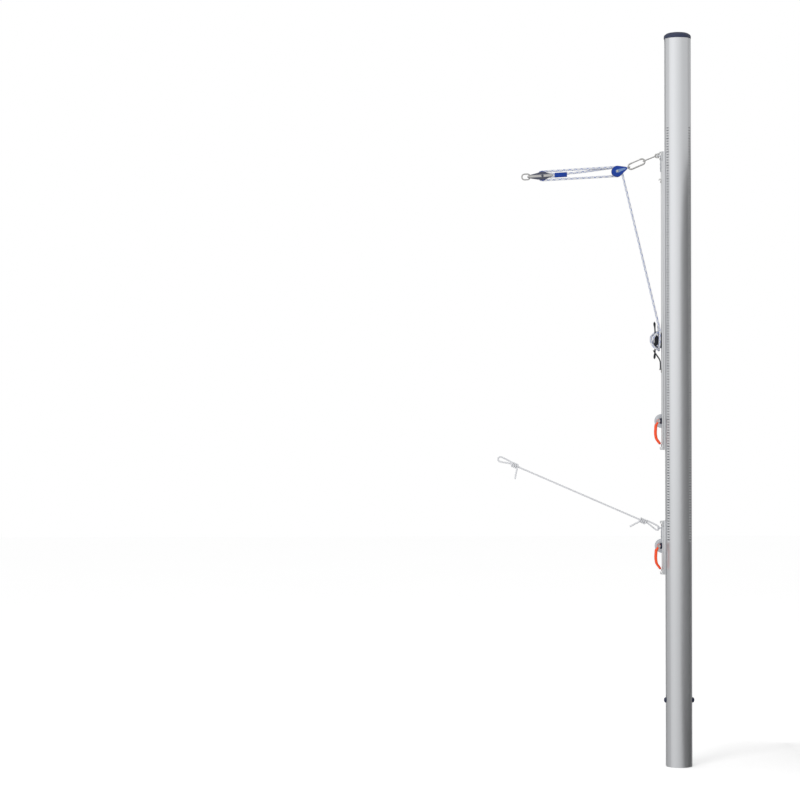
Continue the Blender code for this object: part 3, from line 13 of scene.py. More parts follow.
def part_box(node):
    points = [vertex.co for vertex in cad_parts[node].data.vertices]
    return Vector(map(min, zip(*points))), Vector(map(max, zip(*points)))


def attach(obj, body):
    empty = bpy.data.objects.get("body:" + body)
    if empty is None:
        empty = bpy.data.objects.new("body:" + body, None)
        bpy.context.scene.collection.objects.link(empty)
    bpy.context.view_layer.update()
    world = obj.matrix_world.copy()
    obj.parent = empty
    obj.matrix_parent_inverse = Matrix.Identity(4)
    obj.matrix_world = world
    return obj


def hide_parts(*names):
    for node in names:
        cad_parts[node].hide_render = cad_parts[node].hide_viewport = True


bl_info = {
    "name": "Volleyball Net Post",
    "version": (1, 0, 0),
    "blender": (4, 5, 0),
    "location": "3D View > Sidebar > Net Post",
    "description": "Makes the finished net post: profile, sliders, clamps, tackle, ropes and stage",
    "category": "Add Mesh",
}

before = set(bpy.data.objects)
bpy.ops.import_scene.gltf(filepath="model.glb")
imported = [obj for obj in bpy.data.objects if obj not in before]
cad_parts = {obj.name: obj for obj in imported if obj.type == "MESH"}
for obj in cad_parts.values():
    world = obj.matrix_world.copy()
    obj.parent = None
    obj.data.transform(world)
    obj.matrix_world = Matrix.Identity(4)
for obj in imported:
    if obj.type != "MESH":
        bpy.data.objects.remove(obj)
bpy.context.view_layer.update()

MM = 0.001      # metres in a millimetre
FIT = 0.3       # clearance that keeps touching pieces apart


# Properties

def length(name, text, value):
    """A length whose default is given in millimetres."""
    return bpy.props.FloatProperty(name=name, description=text, default=value * MM, min=0.0,
                                   subtype="DISTANCE", unit="LENGTH", precision=5)


def colour(name, text, *value):
    return bpy.props.FloatVectorProperty(name=name, description=text, default=value, size=3,
                                         min=0.0, max=1.0, subtype="COLOR")


class PostSizes(bpy.types.PropertyGroup):
    """Sizes of the extruded profile and its cap."""
    diameter: length("Tube Diameter", "Outside diameter of the profile", 100)
    wall: length("Wall", "Thickness of the profile's wall", 3)
    tube_length: length("Tube Length", "Length of the profile without its cap", 2726)
    land: length("Land Width", "Width of the flat that the sliders run on", 30)
    mouth: length("Slot Mouth", "Clear width of the slot's mouth", 12)
    lip: length("Slot Lip", "Thickness of metal beside the mouth", 3.5)
    slot: length("Slot Width", "Width of the slot behind its lips", 22)
    slot_depth: length("Slot Depth", "Depth of the slot behind its lips", 8)
    groove: length("Groove Width", "Width of each shallow scale groove", 14)
    groove_depth: length("Groove Depth", "Depth of each shallow scale groove", 0.8)
    slot_wall: length("Slot Wall", "Thickness of the channel round the slot", 2.5)
    stop_bolt: length("Stop Bolt", "Diameter of the bolt that carries the depth stop", 10)
    cap: length("Cap Height", "Height of the domed cap", 24)
    cap_overhang: length("Cap Overhang", "How far the cap stands out past the tube", 0.6)


class SliderSizes(bpy.types.PropertyGroup):
    """Sizes of the sliders, their hooks and their clamps."""
    base: length("Base Thickness", "Thickness of the bar against the post", 8)
    rail: length("Rail Thickness", "Thickness of the bright rail on the bar", 5.5)
    rail_width: length("Rail Width", "Width of the bright rail", 26)
    hook_width: length("Hook Width", "Width of the end hooks", 20)
    cheek: length("Cheek Radius", "Radius of the clamp's half-round cheeks", 26)
    cheek_gap: length("Cheek Gap", "Clear width between the cheeks", 15)
    cheek_plate: length("Cheek Plate", "Thickness of each cheek", 3)
    handle: length("Handle Rod", "Diameter of the handle's coated rod", 8)


class TackleSizes(bpy.types.PropertyGroup):
    """Sizes of the rope, the cords, the wires and the blocks."""
    rope: length("Rope Diameter", "Diameter of the braided tackle rope", 8)
    braid: length("Braid Pitch", "Length of rope for one turn of a strand", 44)
    cord: length("Cord Diameter", "Diameter of the twisted lower cord", 6.5)
    lay: length("Cord Lay", "Length of cord for one turn of a strand", 24)
    elastic: length("Elastic Diameter", "Diameter of the elastic keeper cord", 3.4)
    link: length("Link Wire", "Diameter of the links' wire", 4)
    carabiner: length("Carabiner Wire", "Diameter of the carabiner's body", 6)
    sheave: length("Sheave Radius", "Sheave axis to the middle of the rope", 16.3)


class Finishes(bpy.types.PropertyGroup):
    """Colours of the finishes."""
    anodised: colour("Anodised Aluminium", "Satin silver profile", 0.60, 0.61, 0.625)
    bright: colour("Bright Aluminium", "Rails and cast hooks", 0.66, 0.67, 0.68)
    stainless: colour("Stainless Steel", "Pins, links and far block", 0.46, 0.455, 0.445)
    zinc: colour("Zinc Plate", "Clamp brackets and eyes", 0.50, 0.515, 0.545)
    navy: colour("Navy Plastic", "Cap, stop and near sheaves", 0.012, 0.020, 0.058)
    black: colour("Black Plastic", "Cleat and plugs", 0.007, 0.009, 0.014)
    shoe: colour("Slide Plastic", "Shoes that run in the slot", 0.055, 0.056, 0.060)
    blue: colour("Blue Plastic", "Near block, far sheave and rope sleeve", 0.002, 0.036, 0.27)
    # painted highlight: a paler blue for the light caught on the near block's rounded ribs
    inlay: colour("Blue Inlay", "Band along the near block's cheeks", 0.14, 0.24, 0.47)
    # painted shade: stainless darkened to the tone the far block's plates and axle show in shadow
    dark_steel: colour("Dark Steel", "Plates of the far block", 0.088, 0.094, 0.128)
    orange: colour("Orange Coat", "Coated clamp handles", 1.0, 0.07, 0.002)
    film: colour("Scale Film", "Printed scale strips", 0.60, 0.61, 0.62)
    ink: colour("Scale Ink", "Ticks on the scale strips", 0.03, 0.035, 0.05)
    rope: colour("Rope", "White strands of the ropes", 0.80, 0.81, 0.84)
    fleck: colour("Rope Fleck", "Blue strands of the braided rope", 0.03, 0.13, 0.52)
    elastic: colour("Elastic Cover", "Woven cover of the keeper cord", 0.012, 0.013, 0.018)


class StageSettings(bpy.types.PropertyGroup):
    """Camera, lamps and floor."""
    lens: length("Focal Length", "Lens for a 36 mm sensor", 106.68)
    distance: length("Camera Distance", "Camera to the post's plane", 8890)
    eye: length("Camera Height", "Camera above the floor", 1375.1)
    aside: bpy.props.FloatProperty(name="Camera Aside", description="Camera along X",
                                   default=-1.043, unit="LENGTH")
    roll: bpy.props.FloatProperty(name="Camera Roll", description="Turn about the line of sight",
                                  default=math.radians(0.138), unit="ROTATION")
    floor: colour("Floor", "Pale floor and backdrop", 0.86, 0.86, 0.86)


def sizes_of(group):
    """The lengths of one property group, in millimetres."""
    held = getattr(bpy.context.scene, f"net_post_{group}")
    return SimpleNamespace(**{name: getattr(held, name) / MM for name in type(held).__annotations__})


def box_of(node):
    """Lowest and highest (x, y, z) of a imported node, in millimetres."""
    return [[value / MM for value in corner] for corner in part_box(node)]


# Modelling helpers

def take(*pieces):
    """Leave edit mode and select only these pieces, the first one active."""
    here = bpy.context.view_layer.objects.active
    if here is not None and here.mode != "OBJECT":
        bpy.ops.object.mode_set(mode="OBJECT")
    bpy.ops.object.select_all(action="DESELECT")
    for piece in reversed(pieces):
        piece.select_set(True)
        bpy.context.view_layer.objects.active = piece


def edit(piece, *steps):
    """Run mesh operators on all of a piece, each given as its name and its settings."""
    take(piece)
    bpy.ops.object.mode_set(mode="EDIT")
    bpy.ops.mesh.select_mode(type="VERT")
    for name, settings in steps:
        bpy.ops.mesh.select_all(action="SELECT")
        getattr(bpy.ops.mesh, name)(**settings)
    bpy.ops.object.mode_set(mode="OBJECT")


FACE_OUT = ("normals_make_consistent", {"inside": False})


def line_of(name, points):
    """A closed line with a corner at each point, from a circle whose corners are moved there."""
    take()
    bpy.ops.mesh.primitive_circle_add(vertices=len(points), radius=1.0, fill_type="NOTHING")
    piece = bpy.context.object
    piece.name = piece.data.name = name
    for corner, point in zip(piece.data.vertices, points):
        corner.co = [value * MM for value in (*point, 0)[:3]]
    return piece


def place(piece, where):
    """Move a piece to its frame and keep the place in its mesh."""
    take(piece)
    piece.matrix_world = where
    bpy.ops.object.transform_apply(location=True, rotation=True, scale=True)


def modify(piece, kind, **settings):
    """Add a modifier with its settings and apply it."""
    take(piece)
    step = piece.modifiers.new(kind.lower(), kind)
    for key, value in settings.items():
        setattr(step, key, value)
    bpy.ops.object.modifier_apply(modifier=step.name)


def smooth(piece, angle=35):
    take(piece)
    bpy.ops.object.shade_smooth_by_angle(angle=math.radians(angle))


def finish_shape(piece, where, edge, segments, angle):
    """Place a new shape, round its sharp edges by edge and smooth it."""
    place(piece, where)
    if edge:
        modify(piece, "BEVEL", width=edge * MM, segments=segments, limit_method="ANGLE",
               angle_limit=math.radians(40), harden_normals=False, miter_outer="MITER_ARC",
               use_clamp_overlap=True)
    smooth(piece, angle)
    return piece


def frame_at(origin, along_u, along_v):
    """Matrix from a local (u, v, w) frame to the world, w square to both."""
    u = Vector(along_u).normalized()
    w = u.cross(Vector(along_v)).normalized()
    turned_to = Matrix((u, w.cross(u), w)).transposed().to_4x4()
    return Matrix.Translation(MM * Vector(origin)) @ turned_to


def across(at):
    """Local u is +X, v is +Z and w is -Y, as for pins that lie from front to back."""
    return frame_at(at, (1, 0, 0), (0, 0, 1))


def net_frame(x=0.0, z=0.0):
    """Local u is -Y, v is +Z and w is -X."""
    return frame_at((x, 0, z), (0, -1, 0), (0, 0, 1))


def along_x(z):
    """Local w is +X, at height z."""
    return frame_at((0, 0, z), (0, 1, 0), (0, 0, 1))


SIDE = across((0, 0, 0))
UPRIGHT = Matrix()
FRONT = Vector((0, -1, 0))


def arc(centre, radius, start, end, step=3.0):
    """Points round an arc in degrees, both ends included."""
    count = max(2, math.ceil(abs(end - start) / step - 1e-6))
    turns = [math.radians(start + (end - start) * i / count) for i in range(count + 1)]
    return [(centre[0] + radius * math.cos(t), centre[1] + radius * math.sin(t)) for t in turns]


def circle(centre, radius, count=32):
    return arc(centre, radius, 0, 360, 360 / count)[:-1]


def rounded(radius, depth, low, height, step=15, first=0, last=90):
    """Profile of an edge that rounds inwards by depth over a height."""
    return [(radius - depth * (1 - u), low + height * v) for u, v in arc((0, 0), 1, first, last, step)]


def rounded_box(low, high, corner, step):
    """Outline of a rectangle with round corners."""
    near, far = [c + corner for c in low], [c - corner for c in high]
    middles = (near, (far[0], near[1]), far, (near[0], far[1]))
    return [spot for turn, at in zip((180, 270, 360, 450), middles)
            for spot in arc(at, corner, turn, turn + 90, step)]


def plate(name, outline, low, high, where=SIDE, holes=(), edge=0, segments=3, angle=35):
    """A plate extruded from an outline with holes, its sharp edges rounded by edge."""
    piece = line_of(name, outline)
    if holes:
        join(piece, *(line_of(f"{name}_hole", hole) for hole in holes))
    edit(piece, ("fill", {"use_beauty": True}) if holes else ("edge_face_add", {}),
         ("extrude_region_move", {"TRANSFORM_OT_translate": {"value": (0, 0, (high - low) * MM)}}),
         FACE_OUT, ("dissolve_limited", {"angle_limit": math.radians(0.2)}))
    return finish_shape(piece, where @ Matrix.Translation((0, 0, low * MM)), edge, segments, angle)


def turned(name, profile, where, steps=32):
    """A solid of revolution about local w from (radius, height) points, spun once round."""
    piece = line_of(name, [(radius, 0, height) for radius, height in profile])
    if profile[0][0] == profile[-1][0] == 0:
        for item in (*piece.data.vertices, *piece.data.edges):
            item.select = False
        on_axis = {0, len(profile) - 1}
        next(item for item in piece.data.edges if set(item.vertices) == on_axis).select = True
        bpy.ops.object.mode_set(mode="EDIT")
        bpy.ops.mesh.select_mode(type="EDGE")
        bpy.ops.mesh.delete(type="EDGE")
    edit(piece, ("spin", {"steps": steps, "angle": math.tau, "center": (0, 0, 0), "axis": (0, 0, 1)}),
         ("remove_doubles", {"threshold": 0.005 * MM}), FACE_OUT)
    return finish_shape(piece, where, 0, 0, 35)


def rod(name, radius, low, high, where, steps=32):
    """A plain cylinder about local w."""
    return turned(name, [(0, low), (radius, low), (radius, high), (0, high)], where, steps)


def wire(name, points, diameter, closed=False, sides=8):
    """A round wire along points as a mesh, with filled ends."""
    take()
    line = bpy.data.curves.new(name, "CURVE")
    line.dimensions = "3D"
    line.bevel_depth = diameter / 2 * MM
    line.bevel_resolution = sides
    line.use_fill_caps = not closed
    spline = line.splines.new("POLY")
    spline.points.add(len(points) - 1)
    for spot, point in zip(spline.points, points):
        spot.co = (*(MM * point), 1)
    spline.use_cyclic_u = closed
    spline.use_smooth = True
    piece = bpy.data.objects.new(name, line)
    bpy.context.scene.collection.objects.link(piece)
    take(piece)
    bpy.ops.object.convert(target="MESH")
    piece = bpy.context.object
    piece.data.name = name
    edit(piece, ("remove_doubles", {"threshold": 0.01 * MM}), FACE_OUT)
    smooth(piece, 50)
    return piece


def join(piece, *others):
    """Bring more solids into one piece."""
    take(piece, *others)
    bpy.ops.object.join()
    return piece


def bore(piece, radius, where, steps=32, low=-9, high=9):
    """Cut a round hole through a piece."""
    cut(piece, rod("bore", radius, low, high, where, steps))


def cut(piece, tool):
    """Cut a piece with a tool piece, which is used up."""
    modify(piece, "BOOLEAN", operation="DIFFERENCE", solver="EXACT", object=tool)
    bpy.data.objects.remove(tool, do_unlink=True)
    smooth(piece)


def settle(piece, body, slot, *nodes, finish=None):
    """Give a piece its finish, by default its slot's, put it under its body and hide the nodes it stands for.
    """
    piece.data.materials.clear()
    piece.data.materials.append(FINISH[finish or slot])
    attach(piece, body)
    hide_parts(*nodes)
    return piece


def pick_out(piece, finish, depth):
    """Give another finish to the faces that lie further out from the middle plane than depth."""
    piece.data.materials.append(FINISH[finish])
    for face in piece.data.polygons:
        face.material_index = int(abs(face.center.y) > depth * MM)


# Finishes

class Value:
    """An output of a node; sums with it add Math nodes to its tree."""

    def __init__(self, tree, socket):
        self.tree, self.socket = tree, socket

    def __add__(self, other):
        return self.tree.math("ADD", self, other)

    def __sub__(self, other):
        return self.tree.math("SUBTRACT", self, other)

    def __rsub__(self, other):
        return self.tree.math("SUBTRACT", other, self)

    def __mul__(self, other):
        return self.tree.math("MULTIPLY", self, other)

    def __lt__(self, other):
        return self.tree.math("LESS_THAN", self, other)

    def __abs__(self):
        return self.tree.math("ABSOLUTE", self)


class Node:
    """A node whose outputs are read, and whose inputs are set or linked, by name or number."""

    def __init__(self, tree, made):
        self.tree, self.made = tree, made

    def __getitem__(self, name):
        return Value(self.tree, self.made.outputs[name])

    def __setitem__(self, name, value):
        socket = self.made.inputs[name]
        if isinstance(value, Value):
            self.tree.tree.links.new(value.socket, socket)
        elif socket.type == "RGBA" and len(value) == 3:
            socket.default_value = (*value, 1)
        else:
            socket.default_value = value


class Tree:
    """A node tree and short ways to add to it."""

    def __init__(self, tree):
        self.tree = tree

    def add(self, kind, values=None, **settings):
        made = Node(self, self.tree.nodes.new(kind))
        for key, value in settings.items():
            setattr(made.made, key, value)
        for socket, value in (values or {}).items():
            made[socket] = value
        return made

    def math(self, operation, *values):
        return self.add("ShaderNodeMath", dict(enumerate(values)), operation=operation)[0]

    def mix(self, amount, first, second):
        return self.add("ShaderNodeMix", {0: amount, 6: first, 7: second}, data_type="RGBA")[2]

    def choose(self, amount, first, second):
        return self.add("ShaderNodeMix", {0: amount, 2: first, 3: second}, data_type="FLOAT")[0]

    def spread(self, value, low, high, first=0.0, last=1.0):
        return self.add("ShaderNodeMapRange", {"Value": value, "From Min": low, "From Max": high,
                                               "To Min": first, "To Max": last})["Result"]

    def parts(self, vector):
        made = self.add("ShaderNodeSeparateXYZ", {0: vector})
        return made["X"], made["Y"], made["Z"]

    def scaled(self, vector, by):
        return self.add("ShaderNodeVectorMath", {0: vector, 1: by}, operation="MULTIPLY")[0]

    def noise(self, vector, scale, detail=3.0, roughness=0.5):
        return self.add("ShaderNodeTexNoise", {"Vector": vector, "Scale": scale, "Detail": detail,
                                               "Roughness": roughness})["Fac"]

    def relief(self, height, strength, distance, **normal):
        return self.add("ShaderNodeBump", {"Strength": strength, "Distance": distance, "Height": height,
                                           **normal})["Normal"]


def new_group(name, inputs, outputs):
    """A shader node group and its two ends; an input with no plain number is a vector."""
    group = bpy.data.node_groups.new(name, "ShaderNodeTree")
    for label, value in inputs.items():
        kind = "NodeSocketFloat" if isinstance(value, float) else "NodeSocketVector"
        socket = group.interface.new_socket(name=label, in_out="INPUT", socket_type=kind)
        if value is not None:
            socket.default_value = value
    for label in outputs:
        kind = "NodeSocketVector" if label == "Normal" else "NodeSocketFloat"
        group.interface.new_socket(name=label, in_out="OUTPUT", socket_type=kind)
    tree = Tree(group)
    return group, tree, tree.add("NodeGroupInput"), tree.add("NodeGroupOutput")


def grain_group():
    """Fine cloudy grain: a shade that varies, and a height for its bump."""
    group, tree, given, made = new_group(
        "Fine Grain", {"Coordinates": None, "Scale": 400.0, "Clouds": 12.0}, ("Shade", "Height"))
    fine = tree.noise(given["Coordinates"], given["Scale"], 3.0, 0.55)
    made["Shade"] = fine * 0.35 + tree.noise(given["Coordinates"], given["Clouds"]) * 0.65
    made["Height"] = fine
    return group


def drawn_group():
    """Lines left along an extruded or drawn length: a shade and a height."""
    group, tree, given, made = new_group(
        "Drawn Lines", {"Coordinates": None, "Lines": 900.0, "Stretch": (1, 1, 0.004)},
        ("Shade", "Height"))
    stretched = tree.scaled(given["Coordinates"], given["Stretch"])
    lines = tree.noise(stretched, given["Lines"], 4.0, 0.6)
    made["Shade"] = lines * 0.5 + tree.noise(stretched, given["Lines"] * 0.12, 2.0) * 0.5
    made["Height"] = lines
    return group


def wear_group():
    """Worn edges: a mask along sharp edges, broken up by noise, and a softened normal."""
    group, tree, given, made = new_group(
        "Edge Wear", {"Coordinates": None, "Radius": 0.0006, "Amount": 0.5, "Patches": 160.0},
        ("Mask", "Normal"))
    soft = tree.add("ShaderNodeBevel", {"Radius": given["Radius"]}, samples=4)["Normal"]
    plain = tree.add("ShaderNodeNewGeometry")["Normal"]
    aligned = tree.add("ShaderNodeVectorMath", {0: soft, 1: plain}, operation="DOT_PRODUCT")["Value"]
    patch = tree.spread(tree.noise(given["Coordinates"], given["Patches"]), 0.38, 0.62)
    made["Mask"] = tree.spread(aligned, 0.995, 0.86) * patch * given["Amount"]
    made["Normal"] = soft
    return group


def dust_group():
    """Dust that settles on faces that look up, in soft patches."""
    group, tree, given, made = new_group(
        "Settled Dust", {"Coordinates": None, "Amount": 0.3, "Patches": 30.0}, ("Mask",))
    up = tree.parts(tree.add("ShaderNodeNewGeometry")["Normal"])[2]
    patch = tree.spread(tree.noise(given["Coordinates"], given["Patches"], 4.0), 0.35, 0.7)
    made["Mask"] = tree.spread(up, 0.2, 1.0) * patch * given["Amount"]
    return group


def braid_group():
    """Crossed strands on a braided cover, from a map that is round and along the cord.

    The map's U runs once round, and its V is the length along in strand pitches.
    """
    group, tree, given, made = new_group(
        "Braided Cover", {"Map": None, "Strands": 8.0, "Coloured Every": 8.0},
        ("Height", "Coloured", "Shade"))
    turn, along = (part * given["Strands"] for part in tree.parts(given["Map"])[:2])
    ways = (turn + along, turn - along)
    cells = [tree.math("FLOOR", way) for way in ways]
    parity = tree.math("PINGPONG", cells[0] + cells[1], 1.0)
    offsets = [tree.math("FRACT", way) - 0.5 for way in ways]
    right, left = [offset * offset for offset in offsets]
    made["Height"] = (tree.choose(parity, 1.0 - right * 4.0, 1.0 - left * 4.0)
                      - tree.choose(parity, left * 1.6, right * 1.6))
    every = given["Coloured Every"]
    made["Coloured"] = tree.choose(parity, *(tree.math("FLOORED_MODULO", cell, every) < 0.5
                                             for cell in cells))
    fibres = tree.noise(tree.scaled(given["Map"], (24, 60, 1)), 3.0)
    made["Shade"] = tree.spread(fibres, 0.3, 0.7)
    return group


def laid_group():
    """Fibres of a laid cord's strands, from a map that is round and along the cord, and a mask of the grooves
    between the strands for painted shade.
    """
    group, tree, given, made = new_group(
        "Laid Strands", {"Map": None, "Strands": 3.0, "Fibres": 9.0}, ("Height", "Valley", "Shade"))
    turn, along, _ = tree.parts(given["Map"])
    strand = (turn - along) * given["Strands"]
    ripple = abs(tree.math("SINE", (strand * given["Fibres"] + along * 14.0) * math.pi))
    fibres = tree.noise(tree.scaled(given["Map"], (10, 22, 1)), 3.0, 4.0)
    made["Height"] = ripple * 0.35 + fibres * 0.4
    # the grooves between the strands, where painted shade goes
    made["Valley"] = tree.spread(abs(tree.math("FRACT", strand) - 0.5) * 2.0, 0.4, 0.0)
    made["Shade"] = tree.spread(fibres, 0.3, 0.7)
    return group


def scale_group():
    """Ticks of a measuring scale, one each centimetre, every fifth longer and darker."""
    group, tree, given, made = new_group("Scale Ticks", {"Height": 0.0, "Across": 0.0}, ("Mask",))

    def off_mark(marks_in_metre):
        marks = given["Height"] * marks_in_metre
        return abs(marks - tree.math("ROUND", marks))

    is_fifth = off_mark(20.0) < 0.04
    line = off_mark(100.0) < is_fifth * 0.04 + 0.21
    long_enough = abs(given["Across"] - 0.5) < is_fifth * 0.06 + 0.40
    made["Mask"] = line * long_enough * (is_fifth * 0.12 + 0.86)
    return group


SHARED = {}


def use(tree, maker, **values):
    """A node with the group that maker makes, which is made once."""
    if maker not in SHARED:
        SHARED[maker] = maker()
    return tree.add("ShaderNodeGroup", {key.replace("_", " "): value for key, value in values.items()},
                    node_tree=SHARED[maker])


def start_finish(name, roughness, **sockets):
    """A material, its tree, its shader, and the object's own coordinates."""
    made = bpy.data.materials.new(name)
    made.use_nodes = True
    tree = Tree(made.node_tree)
    shader = Node(tree, made.node_tree.nodes["Principled BSDF"])
    for key, value in {"Roughness": roughness, **sockets}.items():
        shader[key.replace("_", " ")] = value
    return made, tree, shader, tree.add("ShaderNodeTexCoord")


def shades(tone, *amounts):
    """A colour darker or brighter by each amount."""
    return [tuple(min(1.0, channel * amount) for channel in tone) for amount in amounts]


METAL = {"metallic": 1.0, "scale": 500.0, "clouds": 14.0, "wear": 0.5, "patches": 180.0, "bump": 0.04,
         "bump_depth": 0.0004, "dust": 0.0, "dust_patches": 40.0, "dust_tone": (0.46, 0.44, 0.40),
         "dust_rough": 0.35, "contrast": 0.08, "spread": (0.1, 0.1), "rubbed": (1.28, 0.0)}
PLASTIC = {"metallic": 0.0, "scale": 700.0, "clouds": 22.0, "wear": 0.25, "patches": 220.0, "bump": 0.06,
           "bump_depth": 0.0003, "dust": 0.12, "dust_patches": 60.0, "dust_tone": (0.42, 0.41, 0.38),
           "dust_rough": 0.3, "contrast": 0.14, "spread": (0.08, 0.1), "rubbed": (1.6, 0.05)}


def hard_finish(family, name, tone, roughness, drawn=None, radius=0.0005, worn_tone=None, coat=0.0,
                gloss=0.5, **own):
    """A metal or a plastic with fine grain or drawn lines, rubbed edges and a little dust."""
    kind = SimpleNamespace(**{**family, **own})
    made, tree, shader, where = start_finish(name, roughness, Metallic=kind.metallic, Coat_Weight=coat,
                                             Coat_Roughness=0.18, Specular_IOR_Level=gloss)
    spot = where["Object"]
    if drawn:
        pattern = use(tree, drawn_group, Coordinates=spot, Lines=kind.scale, Stretch=drawn)
    else:
        pattern = use(tree, grain_group, Coordinates=spot, Scale=kind.scale, Clouds=kind.clouds)
    edges = use(tree, wear_group, Coordinates=spot, Radius=radius, Amount=kind.wear, Patches=kind.patches)
    factor, lift = kind.rubbed
    pale = worn_tone or tuple(min(1.0, channel * factor + lift) for channel in tone)
    tint = tree.mix(pattern["Shade"], *shades(tone, 1 - kind.contrast, 1 + kind.contrast))
    tint = tree.mix(edges["Mask"], tint, pale)
    low, high = kind.spread
    rough = tree.spread(pattern["Shade"], 0.25, 0.75, roughness - low, roughness + high)
    if kind.dust:
        dust = use(tree, dust_group, Coordinates=spot, Amount=kind.dust, Patches=kind.dust_patches)["Mask"]
        tint = tree.mix(dust, tint, kind.dust_tone)
        rough = rough + dust * kind.dust_rough
        if kind.metallic:
            shader["Metallic"] = 1.0 - dust
    shader["Base Color"] = tint
    shader["Roughness"] = rough
    shader["Normal"] = tree.relief(pattern["Height"], kind.bump, kind.bump_depth, Normal=edges["Normal"])
    return made


def braided(name, tone, fleck, roughness, strands, every, depth=0.00035):
    """A braided cover on a cord's own map, with painted shade where the strands dip under each other."""
    made, tree, shader, where = start_finish(name, roughness, Sheen_Weight=0.3, Sheen_Roughness=0.5)
    weave = use(tree, braid_group, Map=where["UV"], Strands=strands, Coloured_Every=every)
    # painted shade: the first colour is a darker copy of the tone for the low parts of the strands, where
    # they dip under each other
    valley_shade, dark, pale = shades(tone, 0.7, 0.86, 1.08)
    marked = tree.mix(weave["Coloured"], tree.mix(weave["Shade"], dark, pale), fleck)
    shader["Base Color"] = tree.mix(tree.spread(weave["Height"], 0.05, 0.6), valley_shade, marked)
    shader["Normal"] = tree.relief(weave["Height"], 0.9, depth)
    return made


def laid(name, tone, roughness):
    """A laid three-strand cord on its own map, its grooves darkened with painted shade."""
    made, tree, shader, where = start_finish(name, roughness, Sheen_Weight=0.3, Sheen_Roughness=0.5)
    twist = use(tree, laid_group, Map=where["UV"], Strands=3.0, Fibres=7.0)
    # painted shade: the first colour is a much darker copy of the tone for the grooves between the strands
    valley_shade, dark, pale = shades(tone, 0.45, 0.84, 1.06)
    shader["Base Color"] = tree.mix(twist["Valley"], tree.mix(twist["Shade"], dark, pale), valley_shade)
    shader["Normal"] = tree.relief(twist["Height"], 0.7, 0.0003)
    return made


def printed_scale(name, middle, half):
    """Pale film with a centimetre scale, on a groove whose middle and half width are in degrees."""
    tones = bpy.context.scene.net_post_finishes
    made, tree, shader, where = start_finish(name, 0.42)
    x, y, height = tree.parts(where["Object"])
    first = math.radians(middle - half - 360)
    over = tree.spread(tree.math("ARCTAN2", y, x), first, first + 2 * math.radians(half))
    ticks = use(tree, scale_group, Height=height, Across=over)["Mask"]
    pattern = use(tree, grain_group, Coordinates=where["Object"], Scale=900.0, Clouds=9.0)
    base = tree.mix(pattern["Shade"], *shades(tones.film, 0.94, 1.05))
    rubbed = ticks * tree.spread(pattern["Shade"], 0.3, 0.5, 0.7, 1.0)
    shader["Base Color"] = tree.mix(rubbed, base, tones.ink)
    shader["Roughness"] = tree.spread(pattern["Shade"], 0.3, 0.7, 0.36, 0.5)
    shader["Normal"] = tree.relief(pattern["Height"], 0.05, 0.0002)
    return made


LENGTHWISE = (1.0, 1.0, 0.004)
HARD_FINISHES = {
    "anodised": (METAL, "anodised_aluminium", 0.36, {
        "drawn": LENGTHWISE, "scale": 800.0, "wear": 0.25, "radius": 0.0004, "bump": 0.03,
        "contrast": 0.05, "spread": (0.05, 0.05)}),
    "bright": (METAL, "bright_aluminium", 0.34, {
        "drawn": LENGTHWISE, "scale": 1100.0, "wear": 0.3, "bump": 0.05, "contrast": 0.07}),
    "stainless": (METAL, "stainless_steel", 0.24, {
        "scale": 650.0, "wear": 0.4, "bump": 0.05, "contrast": 0.07, "dust": 0.05}),
    "zinc": (METAL, "zinc_plated_steel", 0.36, {
        "scale": 260.0, "wear": 0.45, "bump": 0.08, "contrast": 0.14, "dust": 0.08}),
    # painted shade: stainless darkened to how the far block looks in shadow
    "dark_steel": (METAL, "darkened_steel", 0.34, {"bump": 0.08, "contrast": 0.10, "dust": 0.05}),
    "navy": (PLASTIC, "navy_plastic", 0.42, {"wear": 0.3, "dust": 0.06}),
    "black": (PLASTIC, "black_plastic", 0.44, {"wear": 0.3, "dust": 0.03, "gloss": 0.3}),
    "shoe": (PLASTIC, "slide_plastic", 0.5, {"wear": 0.3}),
    "blue": (PLASTIC, "blue_plastic", 0.36, {
        "wear": 0.3, "dust": 0.02, "worn_tone": (0.10, 0.22, 0.60), "gloss": 0.3}),
    # painted highlight on the near block's ribs, as a paler blue plastic
    "inlay": (PLASTIC, "blue_inlay", 0.34, {"wear": 0.3, "dust": 0.04}),
    "orange": (PLASTIC, "orange_coat", 0.34, {
        "scale": 320.0, "wear": 0.55, "radius": 0.0009, "bump": 0.1, "dust": 0.02,
        "worn_tone": (0.36, 0.33, 0.30), "coat": 0.05}),
    "film": (PLASTIC, "scale_film", 0.42, {}),
}
FINISH = {}


def make_finishes():
    """Every finish of the object, made once from its colours."""
    tones = bpy.context.scene.net_post_finishes
    for key, (family, name, roughness, own) in HARD_FINISHES.items():
        FINISH[key] = hard_finish(family, name, getattr(tones, key), roughness, **own)
    FINISH["cast"] = hard_finish(METAL, "cast_aluminium", tones.bright, 0.42, scale=900.0,
                                 radius=0.0008, bump=0.25, contrast=0.10, dust=0.08)
    FINISH["rope"] = braided("braided_rope", tones.rope, tones.fleck, 0.8, 8.0, 4.0)
    FINISH["laid"] = laid("laid_cord", tones.rope, 0.85)
    FINISH["elastic"] = braided("elastic_cover", tones.elastic, (0.10, 0.11, 0.13), 0.75, 6.0, 6.0,
                                depth=0.00018)


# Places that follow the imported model

def in_metres(point):
    """A point in metres, in the single precision that Blender's vectors keep."""
    return Vector([MM * value for value in point])


